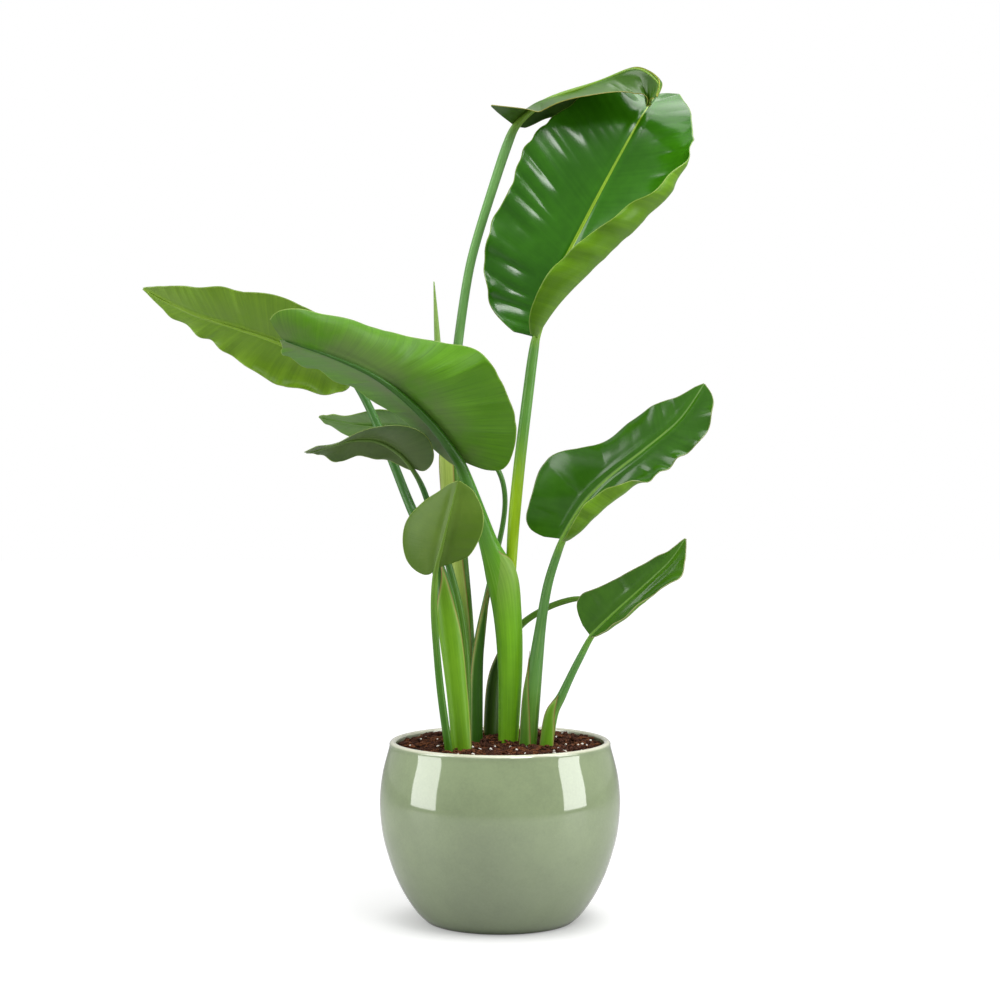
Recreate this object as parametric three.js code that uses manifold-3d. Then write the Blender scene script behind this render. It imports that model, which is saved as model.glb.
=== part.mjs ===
// Potted bird of paradise: a glazed round pot of soil with ten paddle leaves and a rolled new leaf.
// Millimetres, +Z up, origin at the middle of the pot's flat foot. The front is towards -Y.
import * as THREE from 'three';
import Module from 'manifold-3d';
import { mergeVertices } from 'three/addons/utils/BufferGeometryUtils.js';

const wasm = await Module();
wasm.setup();

// Driving dimensions
const GAP = 0.35; // clearance between pieces that touch
const BLADE_THICKNESS = 0.8;
const LARGE_BLADE = { rows: 16, columns: 5 }; // along the midrib, and from it to each margin
const SMALL_BLADE = { rows: 12, columns: 4 };
const STALK_SIDES = 8;
const STALK_FOOT = 150; // height of the stalks' lower ends, in the soil
const POT_SEGMENTS = 40; // round the pot, and round the soil in it
const SOIL_FLOOR = 10.5; // height of the soil's underside
const SOIL_LEVEL = 177; // mean height of the soil's top
const SOIL_RADIUS = 103.6; // the soil's edge inside the lip

// The pot's wall as radius and height pairs, from the middle of the foot up the outside to the lip
const POT_OUTSIDE = [
  [0, 0], [73, 0], [76, 2], [84, 10], [95, 26], [105, 46], [112, 66], [117.5, 88], [120, 112],
  [119.6, 130], [116.8, 150], [110.8, 173],
];
const POT_LIP = [[110.3, 177.5], [107.5, 180], [104.5, 179], [103.6, 176]];
const POT_INSIDE = [[105, 168], [110, 148], [112.5, 115], [107, 76], [94, 42], [73, 10], [0, 10]];

// Each leaf's sizes. stalk lists x, y, z, half the width and half the depth from the soil up to the
// blade; rib lists the midrib's places from the blade's foot to its tip; face is the way the top face
// looks, from foot to tip. left and right are the blade's halves, seen from the top face with the tip
// ahead: reach is the length of a cross row, lean the degrees by which it points forward, fold the
// degrees by which it rises at the rib and curl the further degrees turned at its margin. Each list
// runs from foot to tip.
const LEAVES = {
  tall_right_leaf: {
    large: true,
    stalk: [
      [13, 3, STALK_FOOT, 6, 6], [11, 1, 250, 5, 5], [10, -3, 315, 5, 5], [11, -4, 350, 5.2, 5],
      [14, 3, 400, 6, 5.5], [20, 13, 460, 5.8, 5.5], [28, 21, 525, 5.5, 5], [34, 27, 570, 5, 4.5],
    ],
    rib: [
      [36, 28, 583], [56, 30, 640], [84, 31, 697], [113, 35, 752], [140, 44, 801], [153, 64, 822],
      [160, 90, 834],
    ],
    face: [[-0.1, -1, 0.1], [-0.1, -1, 0.2], [0, -0.8, 0.6]],
    left: {
      reach: [33, 63, 84, 87, 98, 93, 80, 66, 50, 41, 34, 25, 8], lean: [-5, 12, 25, 30, 32, 46, 70],
      fold: [10, 5, 0, -5, -10], curl: [20, 10, 0, 0, -10],
    },
    right: {
      reach: [30, 66, 104, 118, 131, 131, 100, 69, 54, 45, 37, 23, 6],
      lean: [0, 10, 20, 30, 36, 52, 64], fold: [70, 42, 18, 5, 0, 5, 10],
      curl: [100, 125, 150, 158, 145, 115, 78, 25, 5, 0, 0, -5, -10],
    },
  },
  tall_back_leaf: {
    large: true,
    stalk: [
      [-32, 27, STALK_FOOT, 9, 9], [-33, 24, 268, 8, 8], [-41, 19, 359, 9, 8], [-49, 17, 430, 10.5, 8],
      [-51, 17, 475, 10, 7], [-48, 20, 520, 5.5, 5.5], [-42, 25, 578, 4.8, 4.8],
      [-33, 32, 641, 4.6, 4.6], [-24, 37, 680, 4.6, 4.6], [-7, 43, 735, 4.8, 4.6], [8, 47, 780, 5, 4.6],
    ],
    rib: [
      [15, 48, 797], [37, 54, 822], [76, 58, 833], [112, 53, 849], [138, 35, 855], [157, 11, 840],
      [155, -7, 820],
    ],
    face: [[-0.3, 1, 0.2], [-0.3, 0.6, 0.8], [-0.35, 0.1, 1], [-0.3, 0, 1], [0.2, -0.1, 1]],
    left: {
      reach: [16, 34, 37, 27, 10, 6, 2], lean: [35, 30, 30, 30, 25, 15, 20],
      fold: [0, -15, -35, -10, -25, -40, -60], curl: [0, -10, -10, 0, -20, -20, -20],
    },
    right: {
      reach: [42, 46, 52, 45, 37, 24, 4], lean: [-8, -40, 5, 39, 56, 50, 40],
      fold: [-12, -58, -38, -35, -42, -38, -35], curl: [0, 0, 0],
    },
  },
  high_left_leaf: {
    large: true,
    stalk: [
      [-35, -35, STALK_FOOT, 10, 9], [-42, -35, 230, 10, 9], [-50, -33, 300, 11, 9],
      [-61, -29, 355, 6.5, 6.5], [-87, -15, 410, 5, 5], [-107, -2, 459, 4.5, 4.5],
      [-127, 5, 505, 4.2, 4.2], [-143, 8, 535, 4, 4],
    ],
    rib: [
      [-150, 8, 546], [-188, 6, 564], [-224, 0, 579], [-262, -5, 592], [-305, -9, 605],
      [-352, -12, 629],
    ],
    face: [[0.2, 0.7, 0.7], [0.2, 0.65, 0.75], [0.2, 0.5, 0.8]],
    left: {
      reach: [26, 50, 58, 55, 50, 31, 2], lean: [-25, 5, 25, 32, 40], fold: [5, 5, 5], curl: [0, 0, 0],
    },
    right: {
      reach: [20, 41, 46, 41, 33, 22, 2], lean: [-25, 5, 25, 32, 40], fold: [0, 0, 0],
      curl: [-60, -100, -30, 0, 0],
    },
  },
  front_left_leaf: {
    large: true,
    stalk: [
      [7, 3, STALK_FOOT, 9, 10], [10, 0, 250, 12, 11], [7, -4, 309, 14, 11], [1, -7, 345, 15.5, 11],
      [-10, -14, 374, 10, 9], [-21, -28, 408, 7.5, 7], [-34, -44, 445, 6, 6],
    ],
    rib: [
      [-38, -50, 460], [-62, -65, 493], [-93, -85, 525], [-126, -103, 546], [-159, -117, 560],
      [-184, -124, 568], [-204, -123, 575],
    ],
    face: [[0.3, 0.8, 0.6], [0.2, 0.75, 0.65], [0.1, 0.6, 0.8]],
    left: {
      reach: [36, 60, 82, 93, 95, 75, 56, 47, 42, 38, 38, 34, 25],
      lean: [-55, -27, -16, -42, -6, 26, 40], fold: [5, 0, 0, 25, 22, 15, 0],
      curl: [10, 0, 15, 75, 80, 60, 20],
    },
    right: {
      reach: [20, 44, 66, 72, 59, 36, 6], lean: [-35, 0, 20, 30, 40], fold: [25, 28, 27, 22, 15],
      curl: [0, 0, 0],
    },
  },
  small_left_leaf: {
    stalk: [
      [-24, 8, STALK_FOOT, 6.5, 6], [-24, 8, 239, 6.5, 6], [-21, 10, 279, 5, 5],
      [-14, 14, 319, 3.2, 3.2], [-6, 18, 355, 2.8, 2.8], [3, 24, 395, 2.6, 2.6], [5, 29, 425, 2.6, 2.6],
      [-2, 35, 450, 2.6, 2.6], [-20, 42, 470, 2.4, 2.4], [-46, 47, 482, 2.4, 2.4],
    ],
    rib: [[-72, 50, 487], [-99, 51, 492], [-127, 51, 495], [-155, 50, 497], [-183, 48, 503]],
    face: [[0.1, 0.3, 1], [0, 0.2, 1], [0, 0.1, 1]],
    left: {
      reach: [15, 33, 43, 42, 33, 19, 2], lean: [-25, 10, 25, 35, 40], fold: [10, 5, 5],
      curl: [0, 0, 0],
    },
    right: {
      reach: [15, 32, 40, 40, 33, 19, 2], lean: [-25, 10, 25, 35, 40], fold: [-10, -10, -10],
      curl: [0, 0, 0],
    },
  },
  low_left_leaf: {
    stalk: [
      [-34, -12, STALK_FOOT, 4.5, 4.5], [-33, -12, 240, 4.2, 4.2], [-38, -12, 302, 4, 4],
      [-52, -13, 360, 3.5, 3.5], [-64, -14, 395, 3.2, 3.2], [-76, -19, 432, 3, 3],
    ],
    rib: [
      [-85, -25, 452], [-98, -33, 467], [-117, -43, 479], [-141, -53, 481], [-165, -61, 474],
      [-186, -66, 468],
    ],
    face: [[0.5, 0.5, 0.9], [0.2, 0.4, 1], [0, 0.2, 1]],
    left: {
      reach: [9, 35, 45, 42, 32, 20, 8], lean: [-50, -20, -5, 10, 20, 25, 30],
      fold: [10, 15, 10, 0, -10, 0, 0], curl: [0, 0, 0],
    },
    right: {
      reach: [5, 9, 13, 17, 20, 21, 22, 29, 29, 21, 14, 8, 2], lean: [-30, 5, 25, 35, 40],
      fold: [-10, -30, -45, -40, -20, -5, 0], curl: [0, 0, 0],
    },
  },
  young_front_leaf: {
    stalk: [
      [-46, -48, STALK_FOOT, 4, 4], [-57, -55, 227, 3.8, 3.8], [-62, -61, 281, 3.4, 3.4],
      [-64, -68, 315, 3.2, 3.2], [-63, -76, 342, 3, 3],
    ],
    rib: [[-61, -81, 357], [-54, -90, 384], [-47, -95, 412], [-40, -94, 441]],
    face: [[0.3, 1, 0.3], [0.2, 1, -0.1], [0.1, 0.9, -0.3]],
    left: {
      reach: [20, 28, 33, 35, 31, 19, 2], lean: [35, 15, 10, 12, 18, 22, 25], fold: [10, 15, 15],
      curl: [20, 20, 20],
    },
    right: {
      reach: [14, 42, 49, 39, 27, 14, 1], lean: [-60, -30, -5, 15, 25, 30, 30], fold: [10, 15, 15],
      curl: [20, 20, 20],
    },
  },
  middle_right_leaf: {
    large: true,
    stalk: [
      [26, -14, STALK_FOOT, 8.5, 8], [31, -14, 222, 9, 8], [36, -14, 262, 7, 7],
      [41, -14, 300, 5.2, 5.2], [47, -15, 335, 4.6, 4.6], [55, -16, 362, 4.2, 4.2],
    ],
    rib: [
      [61, -17, 382], [82, -21, 417], [108, -26, 444], [142, -30, 471], [176, -30, 500],
      [201, -24, 535],
    ],
    face: [[-0.3, -1, 0.5], [-0.3, -0.9, 0.6], [-0.3, -0.8, 0.6]],
    left: {
      reach: [27, 46, 54, 64, 49, 41, 42, 42, 38, 31, 20, 10, 1], lean: [-25, -15, 8, 20, 25, 32, 38],
      fold: [5, 5, 5], curl: [0, 0, -20, -35, -10, 0, 0],
    },
    right: {
      reach: [18, 47, 58, 57, 44, 37, 37, 24, 1], lean: [0, 5, 15, 20, 25, 32, 38],
      fold: [22, 10, -2, 0, 0, 0, 0], curl: [115, 165, 165, 45, -10, 0, 0],
    },
  },
  low_right_leaf: {
    stalk: [
      [43, -20, STALK_FOOT, 6.5, 6.5], [50, -22, 205, 6.5, 6], [60, -24, 225, 4.6, 4.6],
      [70, -26, 247, 3.8, 3.8], [80, -27, 267, 3.5, 3.5],
    ],
    rib: [[89, -28, 287], [113, -33, 311], [142, -37, 338], [167, -38, 362], [182, -35, 383]],
    face: [[-0.3, -1, 0.4], [-0.3, -0.9, 0.5], [-0.3, -0.8, 0.6]],
    left: {
      reach: [18, 32, 37, 31, 27, 23, 20, 17, 14, 10, 6.5, 3.5, 1], lean: [5, 0, 10, 20, 25, 32, 35],
      fold: [5, 5, 5], curl: [0, 0, 0],
    },
    right: {
      reach: [9, 17, 24, 27, 28, 26, 27, 30, 25, 17, 10, 5, 1], lean: [10, 5, 10, 20, 25, 32, 35],
      fold: [30, 15, 5, 5, 0], curl: [60, 90, 70, 0, 0],
    },
  },
  hidden_right_leaf: {
    stalk: [
      [-10, 42, STALK_FOOT, 7, 7], [-7, 42, 225, 7, 7], [2, 40, 262, 5, 5], [20, 37, 291, 3.6, 3.6],
      [46, 33, 309, 3.2, 3.2], [70, 29, 318, 3, 3],
    ],
    rib: [[84, 26, 321], [100, 24, 323], [120, 23, 328], [138, 22, 336], [152, 22, 345]],
    face: [[-0.2, -0.8, 0.8], [-0.2, -0.8, 0.8], [-0.2, -0.8, 0.8]],
    left: {
      reach: [3, 8, 12, 13, 11, 7, 1], lean: [-20, 5, 22, 32, 40], fold: [0, 0, 0], curl: [0, 0, 0],
    },
    right: {
      reach: [6, 14, 16, 15, 12, 7, 1], lean: [-20, 5, 22, 32, 40], fold: [10, 10, 5], curl: [0, 0, 0],
    },
  },
};

// The rolled new leaf: x, y, z and its half width and half depth, from inside its sheath to its tip
const SPEAR = [
  [-55, 15, 425, 3.2, 3.2], [-58, 15, 480, 3.8, 3.8], [-60, 15, 530, 4, 4], [-63, 14, 585, 3, 3],
  [-66, 12, 638, 0.6, 0.6],
];

// Stalks that are wrapped by a neighbour's sheath, or pass through it
const WRAPPED = { front_left_leaf: ['tall_right_leaf'], tall_back_leaf: ['spear'] };

const FINISHES = {
  glaze: { color: 0x93a285, roughness: 0.25 },
  soil: { color: 0x3b2218, roughness: 0.95 },
  darkBlade: { color: 0x2f6a1c, roughness: 0.4 },
  youngBlade: { color: 0x6f9a35, roughness: 0.5 },
  stalk: { color: 0x6b9a45, roughness: 0.5 },
};

// A value, or a list of values such as a place, at share t of the way along a list, on a smooth curve
function along(list, t) {
  const spans = list.length - 1;
  const place = Math.min(Math.max(t, 0), 1) * spans;
  const first = Math.min(Math.floor(place), spans - 1);
  const f = place - first;
  const at = (i) => list[Math.min(Math.max(i, 0), spans)];
  const [a, b, c, d] = [at(first - 1), at(first), at(first + 1), at(first + 2)];
  const blend = (p, q, r, s) =>
    q + 0.5 * f * (r - p + f * (2 * p - 5 * q + 4 * r - s + f * (3 * (q - r) + s - p)));
  return Array.isArray(b) ? b.map((_, k) => blend(a[k], b[k], c[k], d[k])) : blend(a, b, c, d);
}

// The midrib's place and its three directions at share v of the blade: forward, across and top face
function ribFrame(leaf, v) {
  const step = 0.01;
  const place = new THREE.Vector3(...along(leaf.rib, v));
  const ahead = new THREE.Vector3(...along(leaf.rib, v + step));
  const forward = ahead.sub(new THREE.Vector3(...along(leaf.rib, v - step))).normalize();
  const face = new THREE.Vector3(...along(leaf.face, v)).projectOnPlane(forward).normalize();
  return { place, forward, face, across: forward.clone().cross(face) };
}

// One cross row of a blade, from its left margin over the midrib to its right margin
function bladeRow(leaf, v, columns) {
  const { place, forward, face, across } = ribFrame(leaf, v);
  const side = (half, sign) => {
    const lean = THREE.MathUtils.degToRad(along(half.lean, v));
    const stride = along(half.reach, v) / columns;
    const outward = across.clone().multiplyScalar(sign * Math.cos(lean));
    outward.addScaledVector(forward, Math.sin(lean));
    const point = place.clone();
    return Array.from({ length: columns }, (_, column) => {
      const share = (column + 0.5) / columns;
      const turn = THREE.MathUtils.degToRad(along(half.fold, v) + along(half.curl, v) * share ** 2);
      point.addScaledVector(outward, stride * Math.cos(turn)).addScaledVector(face, stride * Math.sin(turn));
      return point.clone();
    });
  };
  return [...side(leaf.left, -1).reverse(), place, ...side(leaf.right, 1)];
}

// A closed sheet: a grid of places given a thickness, with both faces split into triangles alike,
// its rim moved outwards by spread
function sheetGeometry(grid, thickness, spread) {
  const rows = grid.length;
  const columns = grid[0].length;
  const faces = [1, -1].map((sign) => grid.flatMap((row, i) => row.map((point, j) => {
    const sideways = row[Math.min(j + 1, columns - 1)].clone().sub(row[Math.max(j - 1, 0)]);
    const onward = grid[Math.min(i + 1, rows - 1)][j].clone().sub(grid[Math.max(i - 1, 0)][j]);
    const outward = sideways.clone().multiplyScalar(j === 0 ? -1 : Number(j === columns - 1));
    outward.addScaledVector(onward, i === 0 ? -1 : Number(i === rows - 1)).normalize();
    const place = point.clone().addScaledVector(outward, spread);
    return place.addScaledVector(sideways.cross(onward).normalize(), (sign * thickness) / 2);
  })));
  const below = rows * columns;
  const index = [];
  for (let i = 0; i < rows - 1; i += 1) {
    for (let j = 0; j < columns - 1; j += 1) {
      const a = i * columns + j;
      const [b, c, d] = [a + 1, a + columns + 1, a + columns];
      const halves = j < (columns - 1) / 2 ? [[a, b, c], [a, c, d]] : [[a, b, d], [b, c, d]];
      halves.forEach(([p, q, r]) => index.push(p, q, r, below + p, below + r, below + q));
    }
  }
  const edge = [
    ...Array.from({ length: columns - 1 }, (_, j) => j),
    ...Array.from({ length: rows - 1 }, (_, i) => i * columns + columns - 1),
    ...Array.from({ length: columns - 1 }, (_, j) => below - 1 - j),
    ...Array.from({ length: rows - 1 }, (_, i) => (rows - 1 - i) * columns),
  ];
  edge.forEach((p, k) => {
    const q = edge[(k + 1) % edge.length];
    index.push(p, below + p, below + q, p, below + q, q);
  });
  return new THREE.BufferGeometry().setFromPoints(faces.flat()).setIndex(index);
}

// A leaf's blade, thickened all over by extra
function bladeGeometry(leaf, extra = 0) {
  const { rows, columns } = leaf.large ? LARGE_BLADE : SMALL_BLADE;
  const grid = Array.from({ length: rows + 1 }, (_, row) => bladeRow(leaf, row / rows, columns));
  return sheetGeometry(grid, BLADE_THICKNESS + 2 * extra, extra);
}

// The stalk's line with half widths: the petiole, then the keel that runs on under the blade's midrib
function stalkLine(leaf) {
  const [, , , , girth] = leaf.stalk.at(-1);
  const keel = [0, 0.22, 0.44, 0.66, 0.88].map((v) => {
    const { place, face } = ribFrame(leaf, v);
    const radius = 0.6 + (girth - 0.9) * (1 - v);
    const drop = BLADE_THICKNESS / 2 + GAP + radius * 0.9;
    return [...place.addScaledVector(face, -drop).toArray(), radius, radius];
  });
  return [...leaf.stalk, ...keel];
}

// A closed round bar along a line of places with half widths, thickened all over by extra
function barGeometry(line, extra = 0, sides = STALK_SIDES) {
  const rings = 2 * (line.length - 1) + 1;
  const points = [];
  let across = new THREE.Vector3(1, 0, 0);
  for (let ring = 0; ring < rings; ring += 1) {
    const t = ring / (rings - 1);
    const [x, y, z, wide, deep] = along(line, t);
    const [ax, ay, az] = along(line, t + 0.01);
    const [bx, by, bz] = along(line, t - 0.01);
    const forward = new THREE.Vector3(ax - bx, ay - by, az - bz).normalize();
    across = across.clone().projectOnPlane(forward).normalize();
    const back = forward.clone().cross(across);
    const overshoot = ring === 0 ? -extra : ring === rings - 1 ? extra : 0;
    const centre = new THREE.Vector3(x, y, z).addScaledVector(forward, overshoot);
    for (let side = 0; side < sides; side += 1) {
      const angle = (2 * Math.PI * side) / sides;
      const point = centre.clone().addScaledVector(across, (wide + extra) * Math.cos(angle));
      points.push(point.addScaledVector(back, (deep + extra) * Math.sin(angle)));
    }
  }
  const index = [];
  for (let side = 0; side < sides; side += 1) {
    const next = (side + 1) % sides;
    for (let ring = 0; ring < rings - 1; ring += 1) {
      const [a, b] = [ring * sides + side, ring * sides + next];
      index.push(a, b, b + sides, a, b + sides, a + sides);
    }
    if (side > 0 && side < sides - 1) {
      const last = (rings - 1) * sides;
      index.push(0, side + 1, side, last, last + side, last + side + 1);
    }
  }
  return new THREE.BufferGeometry().setFromPoints(points).setIndex(index);
}

function potGeometry() {
  const profile = [...POT_OUTSIDE, ...POT_LIP, ...POT_INSIDE].map(([r, z]) => new THREE.Vector2(r, z));
  return new THREE.LatheGeometry(profile, POT_SEGMENTS).rotateX(Math.PI / 2);
}

// The soil's top, a gentle heap with lumps
function soilHeight(x, y) {
  const radius = Math.hypot(x, y) / SOIL_RADIUS;
  const rise = 4 * (y / SOIL_RADIUS) * (1 - radius ** 4) + 3 * (1 - radius ** 2);
  const lumps = 1.3 * Math.sin(x / 7 + 2 * Math.cos(y / 11)) * Math.cos(y / 8 - Math.sin(x / 13));
  return SOIL_LEVEL - 1 + rise + lumps * (1 - radius ** 6);
}

function soilGeometry() {
  const top = [0.12, 0.26, 0.4, 0.54, 0.68, 0.8, 0.9, 1];
  const wall = POT_INSIDE.slice(0, -1).map(([radius, z]) => [radius - GAP - 0.4, z - 0.5]);
  wall[wall.length - 1][1] = SOIL_FLOOR;
  const rings = [...top.map((share) => [share * SOIL_RADIUS - GAP, null]), ...wall];
  const points = [new THREE.Vector3(0, 0, soilHeight(0, 0))];
  rings.forEach(([radius, z]) => {
    for (let k = 0; k < POT_SEGMENTS; k += 1) {
      const angle = (2 * Math.PI * k) / POT_SEGMENTS;
      const [x, y] = [radius * Math.cos(angle), radius * Math.sin(angle)];
      points.push(new THREE.Vector3(x, y, z ?? soilHeight(x, y)));
    }
  });
  const last = points.length;
  points.push(new THREE.Vector3(0, 0, SOIL_FLOOR));
  const index = [];
  for (let k = 0; k < POT_SEGMENTS; k += 1) {
    const next = (k + 1) % POT_SEGMENTS;
    index.push(0, 1 + k, 1 + next);
    rings.slice(1).forEach((_, ring) => {
      const [a, b] = [1 + ring * POT_SEGMENTS + k, 1 + ring * POT_SEGMENTS + next];
      index.push(a, a + POT_SEGMENTS, b + POT_SEGMENTS, a, b + POT_SEGMENTS, b);
    });
    const outer = last - POT_SEGMENTS;
    index.push(last, outer + next, outer + k);
  }
  return new THREE.BufferGeometry().setFromPoints(points).setIndex(index);
}

function solidOf(geometry) {
  const bare = new THREE.BufferGeometry();
  bare.setAttribute('position', geometry.getAttribute('position'));
  bare.setIndex(geometry.getIndex());
  const merged = mergeVertices(bare, 1e-4);
  return new wasm.Manifold(new wasm.Mesh({
    numProp: 3,
    vertProperties: new Float32Array(merged.getAttribute('position').array),
    triVerts: new Uint32Array(merged.getIndex().array),
  }));
}

function geometryOf(solid) {
  const mesh = solid.getMesh();
  const geometry = new THREE.BufferGeometry();
  geometry.setAttribute('position', new THREE.BufferAttribute(new Float32Array(mesh.vertProperties), 3));
  geometry.setIndex(new THREE.BufferAttribute(new Uint32Array(mesh.triVerts), 1));
  return geometry;
}

// One solid less the others, without the loose scraps that a cut leaves
function cutBy(geometry, others) {
  const rest = others.reduce((solid, other) => solid.subtract(solidOf(other)), solidOf(geometry));
  const bodies = rest.simplify(0.02).decompose();
  return geometryOf(bodies.sort((a, b) => b.volume() - a.volume())[0]);
}

const plant = new THREE.Group();

function addPiece(name, geometry, finish) {
  geometry.deleteAttribute('normal').deleteAttribute('uv');
  const material = new THREE.MeshStandardMaterial({ ...FINISHES[finish], metalness: 0 });
  const mesh = new THREE.Mesh(mergeVertices(geometry), material);
  mesh.name = name;
  plant.add(mesh);
}

const lines = { spear: SPEAR };
Object.entries(LEAVES).forEach(([name, leaf]) => { lines[name] = stalkLine(leaf); });

addPiece('pot', potGeometry(), 'glaze');
addPiece('soil', cutBy(soilGeometry(), Object.values(lines).map((line) => barGeometry(line, GAP))), 'soil');
Object.entries(LEAVES).forEach(([name, leaf]) => {
  const finish = name === 'young_front_leaf' ? 'youngBlade' : 'darkBlade';
  const wrapped = (WRAPPED[name] ?? []).map((other) => barGeometry(lines[other], GAP));
  const blade = bladeGeometry(leaf, GAP);
  addPiece(`${name}_blade`, bladeGeometry(leaf), finish);
  addPiece(`${name}_stalk`, cutBy(barGeometry(lines[name]), [blade, ...wrapped]), 'stalk');
});
addPiece('rolled_new_leaf', barGeometry(SPEAR), 'youngBlade');

export default plant;
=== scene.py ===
"""A potted bird of paradise: paddle leaves on clasping stalks in a round, glazed, sage-green pot of soil."""

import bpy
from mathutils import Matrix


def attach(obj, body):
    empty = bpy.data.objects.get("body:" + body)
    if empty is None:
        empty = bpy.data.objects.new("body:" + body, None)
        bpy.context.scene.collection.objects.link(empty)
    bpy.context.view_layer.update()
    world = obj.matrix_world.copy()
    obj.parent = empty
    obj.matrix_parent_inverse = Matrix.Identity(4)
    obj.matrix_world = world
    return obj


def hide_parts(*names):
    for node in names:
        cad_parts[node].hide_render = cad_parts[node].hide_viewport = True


bl_info = {
    "name": "Potted Bird of Paradise",
    "version": (1, 0, 0),
    "blender": (4, 5, 0),
    "location": "View3D > Sidebar > Plant",
    "description": "Builds the blades, stalks, soil and glazed pot of a potted bird of paradise",
    "category": "Add Mesh",
}

import math
import random

import bmesh
import bpy
import numpy as np
from mathutils import Euler, Matrix, Vector, noise

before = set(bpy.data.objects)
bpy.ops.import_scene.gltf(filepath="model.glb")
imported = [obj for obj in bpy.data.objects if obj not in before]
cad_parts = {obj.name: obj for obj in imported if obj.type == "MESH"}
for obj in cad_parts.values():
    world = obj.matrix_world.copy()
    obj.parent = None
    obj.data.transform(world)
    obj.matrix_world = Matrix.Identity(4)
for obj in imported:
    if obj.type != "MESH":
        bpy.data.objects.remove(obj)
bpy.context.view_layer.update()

MM = 0.001
SEED = 11

# The pot's wall as radius and height pairs in mm, from the foot up the outside to the lip and back down
POT_FOOT = [(0, 0), (40, 0), (72, 0), (74, 0.4)]
POT_OUTSIDE = [
    (76, 2), (84, 10), (95, 26), (105, 46), (112, 66), (117.5, 88), (120, 112), (119.6, 130), (116.8, 150),
    (110.8, 173),
]
POT_LIP = [(110.3, 177.5), (107.5, 180), (104.5, 179), (103.6, 176)]
POT_INSIDE = [(105, 168), (110, 148), (112.5, 115), (107, 76), (94, 42), (73, 10)]
POT_FLOOR = 10
POT_CURVE_STEPS = 4  # points of the wall from each pair to the next

# The soil in mm
SOIL_LEVEL = 177
SOIL_RADIUS = 103.6
SOIL_RIM = (103.2, 168)
SOIL_FLOOR = 10.6
SOIL_GAP = 0.4  # between the soil and the pot's wall
SOIL_CELLS = 150  # cells of the soil's top in each direction

# Grains on the soil: the range of their sizes in mm, how far out they lie as a share of the soil's radius,
# and how high as a share of their size
CRUMBS = ((1.0, 4.4), 0.95, 0.2)
PERLITE = ((0.9, 1.8), 0.93, 1.3)
FIBRE_REACH = 0.93

# Thicknesses and widths of the plant's parts in mm
STALK_FOOT = 150  # height of the stalks' lower ends, in the soil
BLADE_THICKNESS = 0.8
SHEATH_THICKNESS = 0.5
RIB_WIDTH = 2.6
SMALL_RIB = 0.6  # a small leaf's rib as a share of that

# The blades' grids: rows along the midrib, and columns on each side of it
LARGE_GRID = (200, 40)
SMALL_GRID = (100, 24)
SIDES = {"left": -1, "right": 1}  # the sign of the distances from the midrib
SMALL_PLEATS = 0.5  # a small leaf's pleats as a share of the setting

# Notches where creases meet the margin: width as a share of the midrib, how far each lies past its crease,
# and depth as a share of the reach for a crease of strength 1
NOTCH_WIDTH = 0.013
NOTCH_PAST = 0.004
NOTCH_DEPTH = 0.01

# Tubes: sides, and rings from each point of the line to the next
TUBE_SIDES = 32
STEM_RINGS = 8
SPEAR_RINGS = 12
SHEATH_SIDES = 40
SHEATH_RINGS = 24
SMOOTHINGS = 5  # how often a line is softened at its joints

# Where the keel under a blade has its points, as shares of the midrib
KEEL_SHARES = (0.04, 0.22, 0.44, 0.66, 0.88, 0.97)

# The stage in metres and degrees
FLOOR_REACH = 6
CAMERA_PLACE = (0, -2.25, 0.4935)
CAMERA_TILT = 88.13
SENSOR_WIDTH = 36

# The two tall softboxes beside the plant: the turn at which each stands, where 0 is straight behind the
# plant and 90 on its right, and its width
TALL_SOFTBOXES = {"left_softbox": (-105, 0.68), "right_softbox": (107, 0.6)}
TALL_SOFTBOX_HEIGHT = 1.9
TALL_SOFTBOX_LEVEL = 1.0
TALL_SOFTBOX_DISTANCE = 1.3

# Softboxes above the plant: their place and their size. They face the plant's middle.
SOFTBOXES = {
    "top_softbox": ((0.15, -0.45, 2.5), (1.5, 1.3)),
    "back_softbox": ((0.5, 0.65, 2.4), (1.5, 1.3)),
    "front_softbox": ((0.45, -1.12, 2.3), (1.3, 0.7)),
    "small_softbox": ((0.78, -1.58, 2.08), (0.8, 0.5)),
}
PLANT_MIDDLE = (0, 0, 0.6)

# Light from behind the camera and from behind the plant, as shares of the daylight setting
DAYLIGHT_SHARES = (1.2, 2.2)

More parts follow.
